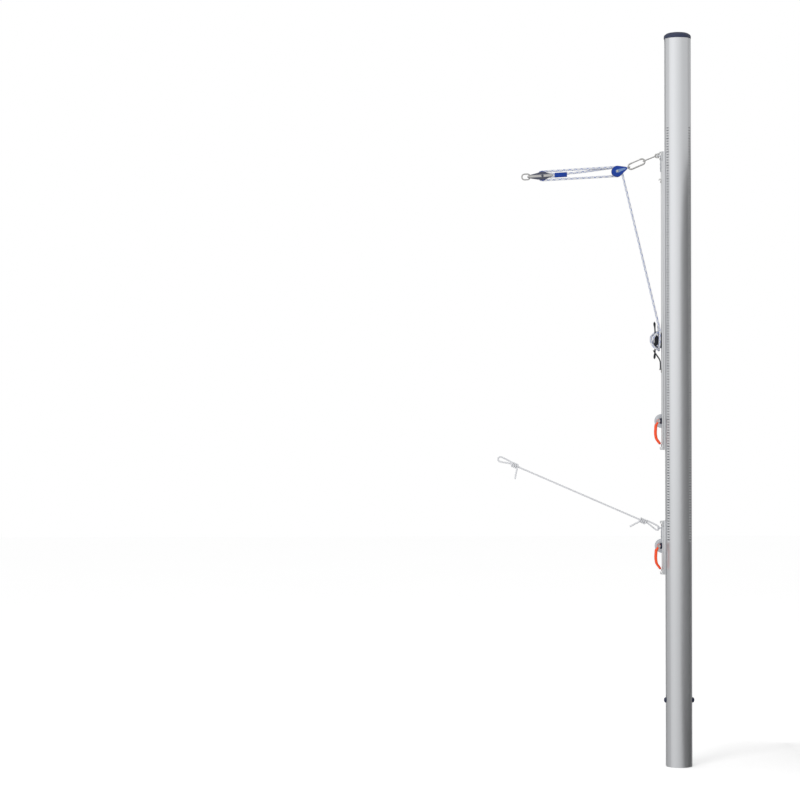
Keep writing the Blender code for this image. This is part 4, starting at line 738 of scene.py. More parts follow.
LAND_X = box_of("profile_front")[0][0]
BASE_FACE_X = box_of("upper_base_bar")[0][0]
RAIL_FACE_X = box_of("upper_rail")[0][0]
ON_RAIL = RAIL_FACE_X - FIT
PIVOT_X = RAIL_FACE_X - 13.4
EYE_X = ON_RAIL - 10.6
CLEAT_HEIGHT = 1596
UPPER_EYE, LOWER_EYE = 2288, 893
UPPER_CLAMP, LOWER_CLAMP = 1294, 826
STOP_HEIGHT = 248
NEAR_AXIS = Vector((-227, 0, 2230))
FAR_AXIS = Vector((-507, 0, 2214))
CARABINER_START = Vector((-124, 0, 2270.5))
CARABINER_END = Vector((-184, 0, 2244.5))
CORD_FAR_EYE = Vector((-675, 0, 1155.5))
AWAY = (in_metres(FAR_AXIS) - in_metres(NEAR_AXIS)).normalized()
UP = Vector((AWAY.z, 0, -AWAY.x))
BECKET_REACH, RING_REACH = 33, 51
BECKET = FAR_AXIS - BECKET_REACH * AWAY
RING_PIN = FAR_AXIS + RING_REACH * AWAY
SLEEVE_REACH = SLEEVE_LENGTH = 46
SLEEVE_FACE = FAR_AXIS - SLEEVE_REACH * AWAY
ROPE_RISE = 3.6                         # rope's middle in the sleeve, above the sleeve's own
LANE = Vector((0, 6.5, 0))
NECK = (in_metres(CARABINER_END) - in_metres(NEAR_AXIS)).normalized()
SHACKLE_WIRE = 4.4

GROOVE_TURNS = (215, 325, 395, 505)     # degrees from +X to the middle of each groove
CLEAT_FRONT = 25.4
HOOK_LENGTH, TOP_HOOK_LENGTH = 22, 34
HOOK_SCREW, TOP_HOOK_SCREW = 16.5, 28
SCREW_HOLE = 2.8
STEM_HOLE = 4.3

# Rope turns on the cleat: out from the rail face, across, above the cleat's middle
WINDING_ENTRY = ((9, -13.2, 45), (7.8, -13.9, 30), (7.6, -13.9, 10), (7.9, -13.4, -6),
                 (8.6, -11.4, -19), (8.8, -6.5, -26))
WINDING_EXIT = ((9.2, 7, -37), (9, 13, -36), (8.8, 19, -28), (8.8, 19.5, -12), (8.8, 17, 5),
                (8.8, 15, 25), (9, 14, 46))
WINDING_LOW = (8.8, 11.6, 9.6)
WINDING_HIGH = (31.2, 40.3)
STOW_ROUTE = ((4.1, 0, -108.7), (4.1, 5, -108.5), (4.1, 7.8, -105), (4.1, 8.4, -90), (5, 8.6, -78),
              (16, 8.9, -58), (26.5, 8.9, -43), (29, 7, -38.8), (29.8, 3.6, -38), (29.8, 0, -38))


# Routes of the rope and the cords

def smooth_path(route, per_span):
    """Points read from a smooth curve through a route, both ends included."""
    spans = [max((second - first).length, 1e-6) for first, second in zip(route, route[1:])]
    ways = [(second - first) / span for first, second, span in zip(route, route[1:], spans)]
    slopes = [(ways[i - 1] * spans[i] + ways[i] * spans[i - 1]) / (spans[i - 1] + spans[i])
              for i in range(1, len(ways))]
    slopes = [ways[0], *slopes, ways[-1]]
    points = []
    for i, span in enumerate(spans):
        for step in range(per_span):
            t = step / per_span
            points.append((2 * t ** 3 - 3 * t ** 2 + 1) * route[i]
                          + (t ** 3 - 2 * t ** 2 + t) * span * slopes[i]
                          + (3 * t ** 2 - 2 * t ** 3) * route[i + 1]
                          + (t ** 3 - t ** 2) * span * slopes[i + 1])
    return points + [route[-1].copy()]


def path_length(points):
    return sum((second - first).length for first, second in zip(points, points[1:]))


def even_path(points, step):
    """The same line with points an even step apart."""
    total = path_length(points)
    count = max(2, round(total / step))
    spaced, run, i = [points[0].copy()], 0.0, 0
    for n in range(1, count):
        goal = total * n / count
        while run + (points[i + 1] - points[i]).length < goal:
            run += (points[i + 1] - points[i]).length
            i += 1
        share = (goal - run) / (points[i + 1] - points[i]).length
        spaced.append(points[i].lerp(points[i + 1], share))
    return spaced + [points[-1].copy()]


def touch(centre, radius, outside, turn, leaving):
    """Angle at which a straight stretch from an outside point meets a circle."""
    gap = outside - centre
    lean = math.acos(radius / Vector((gap.x, gap.z)).length)
    return math.atan2(gap.z, gap.x) + (-turn if leaving else turn) * lean


def round_circle(centre, radius, start, end, turn, lead=0.0):
    """Points round a circle in the front plane, with a straight lead before and after."""
    sweep = ((end - start) * turn) % math.tau
    steps = max(2, math.ceil(sweep / math.radians(15)))
    angles = [start + turn * sweep * i / steps for i in range(steps + 1)]
    points = [centre + radius * Vector((math.cos(angle), 0, math.sin(angle))) for angle in angles]
    if lead:
        ways = [lead * turn * Vector((-math.sin(angle), 0, math.cos(angle))) for angle in (start, end)]
        points = [points[0] - ways[0], *points, points[-1] + ways[1]]
    return points


def beside_cleat(n, y, v):
    """The (x, y, z) at n out from the rail face and v above the cleat's middle."""
    return (ON_RAIL - n, y, CLEAT_HEIGHT + v)


def cleat_turns():
    """Rope route on the cleat: under the lower horn, two crossed turns, then up to its end."""
    route = [beside_cleat(*spot) for spot in WINDING_ENTRY]
    steps = 30
    for i in range(2 * steps + 1):
        turn = i / steps
        angle = math.pi * (1 + turn)
        half = 0 if turn <= 1 else 1
        low = WINDING_LOW[half] + (turn - half) * (WINDING_LOW[half + 1] - WINDING_LOW[half])
        lift = (math.sqrt(math.sin(angle) ** 2 + 1 / 16) - 1 / 4) / (math.sqrt(17 / 16) - 1 / 4)
        route.append(beside_cleat(low + (WINDING_HIGH[half] - low) * lift, 15 * math.sin(2 * angle),
                                  (27 + 4.4 * turn) * math.cos(angle)))
    return route + [beside_cleat(*spot) for spot in WINDING_EXIT]


def rope_route():
    """From the stub in the sleeve, round the becket pin and three sheaves, to the cleat, in metres."""
    near, far, lane = in_metres(NEAR_AXIS), in_metres(FAR_AXIS), in_metres(LANE)
    becket, face = far - BECKET_REACH * MM * AWAY, far - SLEEVE_REACH * MM * AWAY
    stub = face + FIT * MM * AWAY - 4.9 * MM * UP
    entry = face + ROPE_RISE * MM * UP
    leave = entry - SLEEVE_LENGTH * MM * AWAY
    loop, straight, lead = 6.8 * MM, 4 * MM * AWAY, 14 * MM
    radius = sizes_of("tackle").sheave * MM
    over = math.atan2(UP.z, UP.x)
    haul = [in_metres(spot) for spot in cleat_turns()]
    points = [stub, stub + straight]
    points += round_circle(becket, loop, touch(becket, loop, stub + straight, -1, False),
                           touch(becket, loop, entry + straight, -1, True), -1)
    points += [entry + straight, entry.lerp(leave, 0.5), leave - straight]
    for centre, start, end in (
            (near + lane, touch(near, radius, leave, -1, False), over - math.pi),
            (far, over - math.pi, over),
            (near - lane, over, touch(near, radius, haul[0], -1, True))):
        points += round_circle(centre, radius, start, end, -1, lead)
    onward = haul[0] + (haul[0] - haul[1]).length * (points[-1] - haul[0]).normalized()
    return points + [onward, *haul]


def knotted_loop(eye, centre, radius, along, turn, tail_way):
    """Route from a knot's far end, through its core, round the eye and back in turns to its tail."""
    diameter = sizes_of("tackle").cord
    rise = Vector((-along.z, 0, along.x))
    rise = rise if rise.z > 0 else -rise
    turns_round = 3.25
    start = eye + 50 * along
    wrap, pitch = diameter + 0.6, diameter + 0.8
    core = [start + (turns_round + 2) * pitch * along, start]
    loop = round_circle(centre, radius, touch(centre, radius, start, turn, False),
                        touch(centre, radius, start + wrap * rise, turn, True), turn)
    helix_lean = math.atan2(math.tau * wrap, pitch)
    leans = [helix_lean * i / 4 for i in range(5)]
    entry = [(5 * math.sin(lean), 5 * (1 - math.cos(lean)) / wrap) for lean in leans]
    run, angle = entry[-1]
    left = math.tau * turns_round - angle
    steps = math.ceil(left / math.tau * 15)
    entry += [(run + pitch * left * i / steps / math.tau, angle + left * i / steps)
              for i in range(1, steps + 1)]
    turns = [start + spot * along + wrap * (math.cos(a) * rise + math.sin(a) * FRONT)
             for spot, a in entry]
    bend = turns[-1] + 1.2 * diameter * (turns[-1] - turns[-2]).normalized()
    tail_way = Vector(tail_way).normalized()
    tail = smooth_path([turns[-1], bend, bend + 16 * tail_way, bend + 40 * tail_way], 4)
    return core + loop + turns + tail[1:]


def cord_route():
    """From the tail of the lower knot, round the eye, up to the knotted loop at the net."""
    near = Vector((EYE_X, 0, LOWER_EYE))
    along = (CORD_FAR_EYE - near).normalized()
    near_end = knotted_loop(near, near - Vector((7.5, 0, 0)), 7.5, along, 1, (-0.88, 0, -0.48))
    far_end = knotted_loop(CORD_FAR_EYE, CORD_FAR_EYE - 9 * along, 9, -along, -1, (-0.2, 0, -0.98))
    middle = [near_end[0].lerp(far_end[0], i / 8) for i in range(1, 8)]
    return near_end[::-1] + middle + far_end


def keeper_route():
    """Closed route round the cleat's lower horn and the side hook's foot."""
    half = [Vector(beside_cleat(n, -y, v)) for n, y, v in STOW_ROUTE]
    route = half + [Vector((p.x, -p.y, p.z)) for p in reversed(half[1:-1])]
    count = len(route)
    points = []
    for i in range(count):
        spots = [route[(i + step) % count] for step in (-1, 0, 1, 2)]
        points += smooth_path(spots, 8)[8:16]
    return points


def cord_mesh(name, points, radius, sides, pitch, closed=False):
    """A tube along points, its map once round in U and in pitches along in V.

    radius is a number or a function of the angle round and the length along.
    """
    count = len(points)
    heads = []
    for i in range(count):
        before, after = (i - 1, (i + 1) % count) if closed else (max(i - 1, 0), min(i + 1, count - 1))
        heads.append((points[after] - points[before]).normalized())
    side = heads[0].orthogonal().normalized()
    sides_out = [side]
    for first, second in zip(heads, heads[1:]):
        side = first.rotation_difference(second) @ side
        side = (side - side.dot(second) * second).normalized()
        sides_out.append(side)
    twist = 0.0
    if closed:
        last = (heads[-1].rotation_difference(heads[0]) @ side).normalized()
        twist = math.atan2(heads[0].dot(last.cross(sides_out[0])), last.dot(sides_out[0]))
    corners, maps, run = [], [], 0.0
    for i, point in enumerate(points):
        run += (point - points[i - 1]).length if i else 0.0
        maps.append(run / pitch)
        for k in range(sides):
            angle = math.tau * k / sides
            reach = radius(angle, run) if callable(radius) else radius
            turn = angle + twist * i / count
            way = math.cos(turn) * sides_out[i] + math.sin(turn) * heads[i].cross(sides_out[i])
            corners.append(MM * (point + reach * way))
    if closed:
        maps.append((run + (points[0] - points[-1]).length) / pitch)
    faces, spots = [], []
    for i in range(len(maps) - 1):
        ring, onward = i * sides, (i + 1) % count * sides
        for k in range(sides):
            m = (k + 1) % sides
            faces.append((ring + k, ring + m, onward + m, onward + k))
            spots += [(k / sides, maps[i]), ((k + 1) / sides, maps[i]),
                      ((k + 1) / sides, maps[i + 1]), (k / sides, maps[i + 1])]
    for end in () if closed else (0, count - 1):
        tip = len(corners)
        corners.append(MM * points[end])
        for k in range(sides):
            a, b = end * sides + k, end * sides + (k + 1) % sides
            faces.append((a, b, tip) if end else (b, a, tip))
            spots += [(k / sides, maps[end])] * 3
    mesh = bpy.data.meshes.new(name)
    mesh.from_pydata(corners, [], faces)
    layer = mesh.uv_layers.new(name="UVMap")
    layer.data.foreach_set("uv", [value for spot in spots for value in spot])
    mesh.validate()
    piece = bpy.data.objects.new(name, mesh)
    bpy.context.scene.collection.objects.link(piece)
    smooth(piece, 60)
    return piece


# Pieces of the post

def degrees_of(part, whole):
    """Angle in degrees whose sine is part over whole."""
    return math.degrees(math.asin(part / whole))


def bore_outline(radius, side, back):
    """The tube's bore with the channel of the slot standing in it."""
    corner = degrees_of(side, radius)
    return arc((0, 0), radius, 180 + corner, 540 - corner) + [(back, side), (back, -side)]


def make_profile(sizes):
    """The extruded profile in one length, its T-slot open to the net and a groove for each scale."""
    radius = sizes.diameter / 2
    half = degrees_of(sizes.groove, sizes.diameter)
    mouth, inner = sizes.mouth / 2, sizes.slot / 2
    top = LAND_X + sizes.lip
    floor = top + sizes.slot_depth
    outline = [(LAND_X, -mouth)]
    land = degrees_of(sizes.land, sizes.diameter)
    turn = 180 + land
    for middle in GROOVE_TURNS:
        outline += arc((0, 0), radius, turn, middle - half)
        outline += arc((0, 0), radius - sizes.groove_depth, middle - half, middle + half)
        turn = middle + half
    outline += arc((0, 0), radius, turn, 540 - land)
    outline += [(LAND_X, mouth), (top, mouth), (top, inner), (floor, inner), (floor, -inner),
                (top, -inner), (top, -mouth)]
    hole = bore_outline(radius - sizes.wall, inner + sizes.slot_wall, floor + sizes.slot_wall)
    piece = plate("extruded_profile", outline, 0, sizes.tube_length, UPRIGHT, [hole], 0.35, 2)
    bore(piece, sizes.stop_bolt / 2 + FIT, along_x(STOP_HEIGHT), 32, top, 1.1 * radius)
    settle(piece, "post", "anodised", "profile_front", "profile_back", "slot_floor")


def make_scale_films(sizes):
    """The two printed films that lie in the front grooves."""
    half = degrees_of(sizes.groove, sizes.diameter) - 0.5
    floor = sizes.diameter / 2 - sizes.groove_depth + FIT
    for name, middle in (("scale_net_side", GROOVE_TURNS[0]), ("scale_far_side", GROOVE_TURNS[1])):
        low, high = box_of(name)
        strip = arc((0, 0), floor, middle - half, middle + half, 1.5)
        strip += arc((0, 0), floor + 0.3, middle + half, middle - half, 1.5)
        piece = plate(f"{name}_film", strip, low[2], high[2], UPRIGHT)
        FINISH[f"{name}_print"] = printed_scale(f"{name}_print", middle, half)
        settle(piece, "post", "film", name, finish=f"{name}_print")


def make_cap(sizes):
    """The domed cap, with the plug and the tongue that hold it in the profile."""
    base = sizes.tube_length + FIT
    radius = sizes.diameter / 2 + sizes.cap_overhang
    rim, shoulder = 0.29 * sizes.cap, 0.42 * sizes.cap
    dome = [(0, 0), (radius - 0.5, 0), (radius, 0.5)]
    dome += arc((radius - shoulder, rim), shoulder, 0, 75, 7.5)
    side, height = dome[-1]
    dome += rounded(side, side, height, sizes.cap - height, 9, 9, 81) + [(0, sizes.cap)]
    cap = turned("domed_cap", dome, Matrix.Translation((0, 0, base * MM)), 96)
    inner, mouth = sizes.slot / 2 - FIT, sizes.mouth / 2 - FIT
    top = LAND_X + sizes.lip + FIT
    floor = top + sizes.slot_depth - 2 * FIT
    tee = [(LAND_X, -mouth), (top, -mouth), (top, -inner), (floor, -inner), (floor, inner),
           (top, inner), (top, mouth), (LAND_X, mouth)]
    tongue = plate("cap_tongue", tee, base - 9, base + FIT, UPRIGHT, edge=0.4)
    inside = sizes.diameter / 2 - sizes.wall - FIT
    outline = bore_outline(inside, sizes.slot / 2 + sizes.slot_wall + FIT, floor + 2 * FIT + sizes.slot_wall)
    plug = plate("cap_plug", outline, base - 22, base + FIT, UPRIGHT, [circle((0, 0), inside / 2, 48)], 0.5)
    settle(join(cap, tongue, plug), "post", "navy", "top_cap")


def make_depth_stop(sizes):
    """The bolt through the post and its cap nut, whose domed heads rest on the ground sleeve."""
    head, shank = 10, sizes.stop_bolt / 2
    back = sizes.diameter / 2 + FIT
    seat = FIT - LAND_X

    def domed_head(face):
        return ([(head - 0.3, face), (head, face + 0.3)] + rounded(head, head, face + 2, 6, 7.5)[:-1]
                + [(0, face + 8)])

    bolt = [(0, -back - 5), (shank - 0.4, -back - 5), (shank, -back - 4.6), (shank, seat)]
    piece = turned("stop_bolt_head", bolt + domed_head(seat), net_frame(0, STOP_HEIGHT), 64)
    settle(piece, "post", "navy", "stop_bolt")
    nut = [(0, back + 5.4), (shank + FIT, back + 5.4), (shank + FIT, back)]
    piece = turned("stop_cap_nut", nut + domed_head(back), along_x(STOP_HEIGHT), 64)
    settle(piece, "post", "navy", "stop_nut")


# Pieces of the sliders

def make_screw(node, z, body):
    """Button head with a six-sided socket, its shank reaching inwards."""
    low, high = box_of(node)
    radius, height, shank = 4.5, 2.6, 2.5
    shank_end = high[0] - low[0] - height
    where = net_frame(low[0] + height, z)
    profile = [(0, -shank_end), (shank, -shank_end), (shank, 0), (radius - 0.2, 0), (radius, 0.2)]
    profile += rounded(radius, 1.9, 0.5, height - 0.5, 11.25) + [(0, height)]
    piece = turned(f"{node}_socket_head", profile, where, 40)
    cut(piece, plate("socket", circle((0, 0), 1.55, 6), 1.1, 2 * height, where))
    settle(piece, body, "stainless", node)


def make_end_hook(node, end, inward, length, screw_z, body):
    """Cast hook on a slider's end, its beak pointing back along the slider."""
    foot = BASE_FACE_X - FIT
    beak, throat = RAIL_FACE_X - 6.4, RAIL_FACE_X - 4.6
    crown, tip = 4, 10.4
    mouth = (RAIL_FACE_X - throat) / 2
    outline = [(foot, 0), (RAIL_FACE_X + 1.2, 0)]
    outline += arc((beak + 3.2, 3.2), 3.2, 255, 180, 15)
    outline += arc(((beak + throat) / 2, tip - 0.9), 0.9, 180, 0, 20)
    outline += arc((throat + mouth, crown + mouth), mouth, 180, 360, 15)
    outline += [(RAIL_FACE_X, length - 0.8), (RAIL_FACE_X + 0.8, length), (foot, length)]
    placed = [(x, end + inward * along) for x, along in outline][::inward]
    half = sizes_of("slider").hook_width / 2
    piece = plate(f"{node}_casting", placed, -half, half, edge=0.7, segments=4)
    bore(piece, SCREW_HOLE, net_frame(foot, screw_z))
    settle(piece, body, "bright", node, finish="cast")


def make_slider(prefix, sizes, clamp_z, top_length, top_screw):
    """Base bar, bright rail, cast end hooks and screws of one slider."""
    body = f"{prefix}_slider"
    bottom, top = (corner[2] for corner in box_of(f"{prefix}_base_bar"))
    screws = (bottom + HOOK_SCREW, top - top_screw)
    half = sizes_of("sizes").land / 2
    holes = [circle((0, clamp_z), STEM_HOLE), *(circle((0, z), SCREW_HOLE, 24) for z in screws)]
    outline = [(-half, bottom), (half, bottom), (half, top), (-half, top)]
    bar = plate(f"{prefix}_slide_bar", outline, 0, sizes.base, net_frame(LAND_X - FIT), holes, 0.6, 2)
    settle(bar, body, "anodised", f"{prefix}_base_bar")

    low, high = box_of(f"{prefix}_rail")
    half, groove, floor = sizes.rail_width / 2, 5, sizes.rail - 1
    section = [(-half, 0), (half, 0), (half, sizes.rail), (groove + 0.5, sizes.rail), (groove, floor),
               (-groove, floor), (-groove - 0.5, sizes.rail), (-half, sizes.rail)]
    rail = plate(f"{prefix}_bright_rail", section, low[2], high[2],
                 frame_at((BASE_FACE_X - FIT, 0, 0), (0, 1, 0), (-1, 0, 0)), edge=0.5)
    bore(rail, STEM_HOLE, net_frame(BASE_FACE_X, clamp_z), 40)
    settle(rail, body, "bright", f"{prefix}_rail")

    for end, z, inward, length, screw_z in (("bottom", bottom, 1, HOOK_LENGTH, screws[0]),
                                            ("top", top, -1, top_length, screws[1])):
        make_end_hook(f"{prefix}_{end}_hook", z, inward, length, screw_z, body)
        make_screw(f"{prefix}_{end}_screw", screw_z, body)


def make_clamp(prefix, sizes, z):
    """Half-round bracket, plunger, cam pin and orange bail handle of one lever clamp."""
    gap, thick = sizes.cheek_gap / 2, sizes.cheek_plate
    ear = gap + thick + FIT
    notch, notch_x = 10.8, PIVOT_X + 5

    def block(name, xs, zs, half, edge):
        outline = [(xs[0], zs[0]), (xs[1], zs[0]), (xs[1], zs[1]), (xs[0], zs[1])]
        return plate(name, outline, -half, half, edge=edge)

    cheek = arc((ON_RAIL, z), sizes.cheek, 90, 270)
    cheek += [(ON_RAIL, z - notch), (notch_x, z - notch), (notch_x, z + notch), (ON_RAIL, z + notch)]
    parts = [plate(f"{prefix}_clamp_bracket", cheek, low, low + thick, holes=[circle((PIVOT_X, z), 3.3)],
                   edge=0.6) for low in (gap, -gap - thick)]
    for sign in (-1, 1):
        ends = sorted((z + sign * (notch + FIT), z + sign * (sizes.cheek - 2.5)))
        parts.append(block("web", (ON_RAIL - 2.5, ON_RAIL), ends, gap + thick / 2, 0.5))
    bracket = join(*parts)
    smooth(bracket)
    settle(bracket, f"{prefix}_slider", "zinc", f"{prefix}_bracket")

    plunger = block(f"{prefix}_plunger_block", (notch_x + FIT, ON_RAIL - FIT), (z - 10.5, z + 10.5), 6.5, 0.9)
    deep, stem = box_of(f"{prefix}_plunger")[1][0], 4
    profile = [(0, -deep), (stem - 0.6, -deep), (stem, 0.6 - deep), (stem, 2 - ON_RAIL), (0, 2 - ON_RAIL)]
    join(plunger, turned("stem", profile, net_frame(0, z), 40))
    settle(plunger, f"{prefix}_clamp_block", "black", f"{prefix}_plunger", finish="navy")

    seat = ear + sizes.handle + FIT
    head, high, shank = 6, 2, 3
    front = [(head, seat), *rounded(head, 1, seat + 0.9, 1.1), (3.1, seat + high), (2.5, seat + 1.6),
             (2.2, seat + 0.7), (0, seat + 0.6)]
    back = [(0, -seat - high), (head - 1, -seat - high), (head, -seat - 1), (head, -seat), (shank, -seat),
            (shank, seat)]
    pin = turned(f"{prefix}_pivot_pin", back + front, across((PIVOT_X, 0, z)), 48)
    join(pin, plate("cam", cam_outline(z), FIT - gap, gap - FIT, edge=0.4))
    settle(pin, f"{prefix}_lever", "stainless", f"{prefix}_cam_pin")

    rod_half = sizes.handle / 2
    middle = ear + rod_half
    bail = wire(f"{prefix}_bail_handle", handle_route(rod_half, z, middle), sizes.handle)
    side = [(3.3, 0.3 - rod_half), (3.6, -rod_half), (5.3, -rod_half), (6.2, 0.5 - rod_half),
            (6.5, 1.4 - rod_half)]
    profile = side + [(r, -w) for r, w in reversed(side)]
    join(bail, *(turned("ear", profile, across((PIVOT_X, y, z)), 48) for y in (-middle, middle)))
    smooth(bail, 45)
    settle(bail, f"{prefix}_lever", "orange", f"{prefix}_handle")


def cam_outline(z):
    """Cam that lets the plunger back evenly as the lever opens."""
    points = []
    for turn in range(0, 360, 6):
        share = 1 - turn / 100 if turn <= 100 else min(1, max(0, (turn - 140) / 60))
        reach = 3.4 + 1.6 * share
        angle = math.radians(turn)
        points.append((PIVOT_X + reach * math.cos(angle), z + reach * math.sin(angle)))
    return points


def handle_route(radius, z, leg):
    """Middle line of the bail: down from one eye of the pin, across at the grip and up again."""
    reach, bend = 84, 2 * radius
    bow_x = PIVOT_X - 9.4
    grip = Vector((PIVOT_X + 5.4, 0, z - reach))
    low = Vector((bow_x + 0.8 * radius, 0, z - 0.8 * reach))
    inward = (grip - low).normalized()
    corner = grip - bend * inward
    side = smooth_path([Vector((PIVOT_X - 0.5 * radius, 0, z - 3.6)),
                        Vector((bow_x + 0.4 * radius, 0, z - 0.17 * reach)),
                        Vector((bow_x, 0, z - 0.32 * reach)), Vector((bow_x, 0, z - 0.64 * reach)),
                        low, corner], 8)
    half = [Vector((p.x, leg, p.z)) for p in side]
    for v, u in arc((0, 0), bend, 0, 90, 7.5)[1:]:
        spot = corner + u * inward
        half.append(Vector((spot.x, leg - bend + v, spot.z)))
    return half + [Vector((p.x, -p.y, p.z)) for p in reversed(half)]


# Eyes, side hooks and the cleat

def rivet(face, head, low, height, step, where):
    """Head with a low dome."""
    dome = rounded(head, head, low, height, step, step, 90 - step)
    return turned("rivet", [(0, face), (head, face), (head, low), *dome, (0, low + height)], where)


def make_pad_eye(name, z, ends, rivets, hole, body, screw_z=None):
    """Plate on the rail with a level lug, its eye upright."""
    thick, half = 2.5, 9
    outline = rounded_box((-half, z + ends[0]), (half, z + ends[1]), 2.5, 15)
    holes = [] if screw_z is None else [circle((0, screw_z), SCREW_HOLE, 24)]
    piece = plate(f"{name}_plate", outline, 0, thick, net_frame(ON_RAIL), holes, 0.4)
    root = ON_RAIL - thick / 2
    lug = [(root, half - FIT), *arc((EYE_X, 0), hole / 2 + 2.2, 90, 270, 6), (root, FIT - half)]
    lug = plate("lug", lug, z - 2, z + 2, UPRIGHT, [circle((EYE_X, 0), hole / 2, 36)], 0.7)
    join(piece, lug, *(rivet(thick / 2, 3.5, thick + 0.4, 1.4, 10, net_frame(ON_RAIL, z + spot))
                       for spot in rivets))
    smooth(piece)
    settle(piece, body, "zinc", name)


def make_side_hook(name, body):
    """Small bent strip on the rail, its mouth open downwards."""
    low, high = (corner[2] for corner in box_of(name))
    strip, mouth, corner, tip = 1.8, 4.6, 3, 0.9
    lip = ON_RAIL - strip - mouth
    outer, bend = lip - strip, mouth / 2
    outline = [(ON_RAIL, low), (ON_RAIL, high - corner)]
    outline += arc((ON_RAIL - corner, high - corner), corner, 0, 90, 15)
    outline += arc((outer + corner, high - corner), corner, 90, 180, 15)
    outline += arc(((outer + lip) / 2, low + 32 / 3 - strip + tip), tip, 180, 360, 30)
    outline += arc((lip + bend, high - strip - bend), bend, 180, 0, 15)
    outline += [(ON_RAIL - strip, low)]
    piece = plate(f"{name}_strip", outline, -4.5, 4.5, edge=0.4)
    head = 3.24
    join(piece, rivet(FIT, head, 2.1, 1.1, 15, net_frame(ON_RAIL, low + 1.2 * head)))
    smooth(piece)
    settle(piece, body, "stainless", name)


def make_cleat(body):
    """Black horn cleat, its horns swept out from a short stem on a screwed base."""
    half_base, stem, tip, front, base, corner = 29, 15, 70, CLEAT_FRONT, 4, 9
    route = [(0.3 * base, stem + 2), (base, stem + 2), (0.32 * front, 0.97 * stem),
             (0.56 * front, 1.05 * stem), (0.79 * front, 1.7 * stem), (0.88 * front, 0.64 * tip),
             (0.96 * front, 0.97 * tip), (1.04 * front, tip), (1.11 * front, 0.97 * tip),
             (1.05 * front, 0.64 * tip), (1.01 * front, 0.3 * tip)]
    curve = smooth_path([Vector((n, v, 0)) for n, v in route[1:]], 5)
    half = [route[0], *((p.x, p.y) for p in curve)]
    placed = [(ON_RAIL - n, CLEAT_HEIGHT + v) for n, v in half + [(n, -v) for n, v in reversed(half)]]
    horns = plate("horn_cleat", placed, -6.5, 6.5, edge=1.6, segments=4, angle=55)
    pad = [spot for turn, sign in ((0, 1), (180, -1))
           for spot in arc((0, CLEAT_HEIGHT + sign * (half_base - corner)), corner, turn, turn + 180, 10)]
    pad = plate("pad", pad, 0, base, net_frame(ON_RAIL), edge=0.9)
    screw = [(0, base / 2), (4.4, base / 2), (4.4, base), (4, base + 0.3), (1.2, base + 0.4),
             (0.9, base - 1), (0, base - 1.2)]
    join(horns, pad, *(turned("countersunk", screw, net_frame(ON_RAIL, CLEAT_HEIGHT + spot))
                       for spot in (-21, 21)))
    smooth(horns, 50)
    settle(horns, body, "black", "rope_cleat")


# The chain of links and the blocks

def oval(start, end, radius, side):
    """Middle line of an oval link whose two end wires pass start and end."""
    along = (end - start).normalized()
    return [centre + along * u + side * v
            for centre, first in ((end - along * radius, -90), (start + along * radius, 90))
            for u, v in arc((0, 0), radius, first, first + 180, 7.5)]


def make_shackle(pin, body):
    """Bow shackle at the upper eye and its screw pin."""
    half = SHACKLE_WIRE / 2
    arm = 17 / 2 - half
    bend = pin + Vector((arm - 12, 0, 0))
    bow = [bend + arm * Vector((-u, 0, v)) for v, u in arc((0, 0), 1, 0, 180, 7.5)]
    ends = Vector((0, 0, arm))
    piece = wire("head_shackle_bow", [pin + ends, *bow, pin - ends], SHACKLE_WIRE, sides=6)
    boss, outer, inner = 3.8, arm + half, arm - half
    profile = [(0, -outer), (boss - 0.4, -outer), (boss, 0.4 - outer), (boss, -inner), (half, -inner),
               (half, inner), (boss, inner), (boss, outer - 0.3), (0.86 * boss, outer + 1.05),
               (0.7 * boss, outer + 1.5), (0, outer + 1.5)]
    join(piece, turned("shackle_pin", profile, Matrix.Translation(MM * pin), 40))
    smooth(piece)
    settle(piece, body, "stainless", "head_shackle")


def make_carabiner(sizes, along, body):
    """Carabiner from start to end with its straight side open, and the gate that shuts it."""
    up = Vector((along.z, 0, -along.x))
    radius = (27 - sizes.carabiner) / 2
    ring = oval(CARABINER_START, CARABINER_END, radius, up)
    count = len(ring) // 2
    middle = (CARABINER_START + CARABINER_END) / 2 + radius * up
    hinge, nose = middle - along * 15, middle + along * 15
    route = [nose + along * FIT, *ring[:count][::-1], *ring[count:][::-1], hinge - along * 1.5]
    settle(wire("snap_carabiner", route, sizes.carabiner), body, "stainless", "carabiner")
    gate, neck, chamfer, long = 2.3, 1.9, 0.5, 30
    profile = [(0, 0), (gate - chamfer, 0), (gate, chamfer), (gate, 4), (neck, 4.4), (neck, 5.2),
               (gate, 5.6), (gate, long - chamfer), (gate - chamfer, long), (0, long)]
    piece = turned("snap_gate_bar", profile, frame_at(hinge, (0, 1, 0), FRONT.cross(along)))
    settle(piece, "snap_gate", "stainless", "carabiner_gate")


def make_chain(sizes, body):
    """Shackle, long link, carabiner with its gate, and the near block's head link."""
    pin = Vector((EYE_X, 0, UPPER_EYE))
    along = (CARABINER_END - CARABINER_START).normalized()
    seat = (sizes.carabiner + sizes.link) / 2 + FIT
    near = pin - Vector((12 - (SHACKLE_WIRE + sizes.link) / 2 - 4 * FIT / 3, 0, 0))

    def make_link(name, start, end, node):
        link = wire(name, oval(start, end, (15 - sizes.link) / 2, FRONT), sizes.link, True, 6)
        settle(link, body, "stainless", node)

    make_shackle(pin, body)
    make_link("long_oval_link", near, CARABINER_START + seat * along, "long_link")
    make_carabiner(sizes, along, body)
    eye = NEAR_AXIS + BECKET_REACH * NECK
    make_link("near_oval_link", CARABINER_END - seat * along, eye, "near_head_link")


def flat(start, way=AWAY, reach=0):
    """The (x, z) at a reach from a start, as an outline in the SIDE frame has it."""
    at = in_metres(start) + reach * MM * way
    return (at.x / MM, at.z / MM)


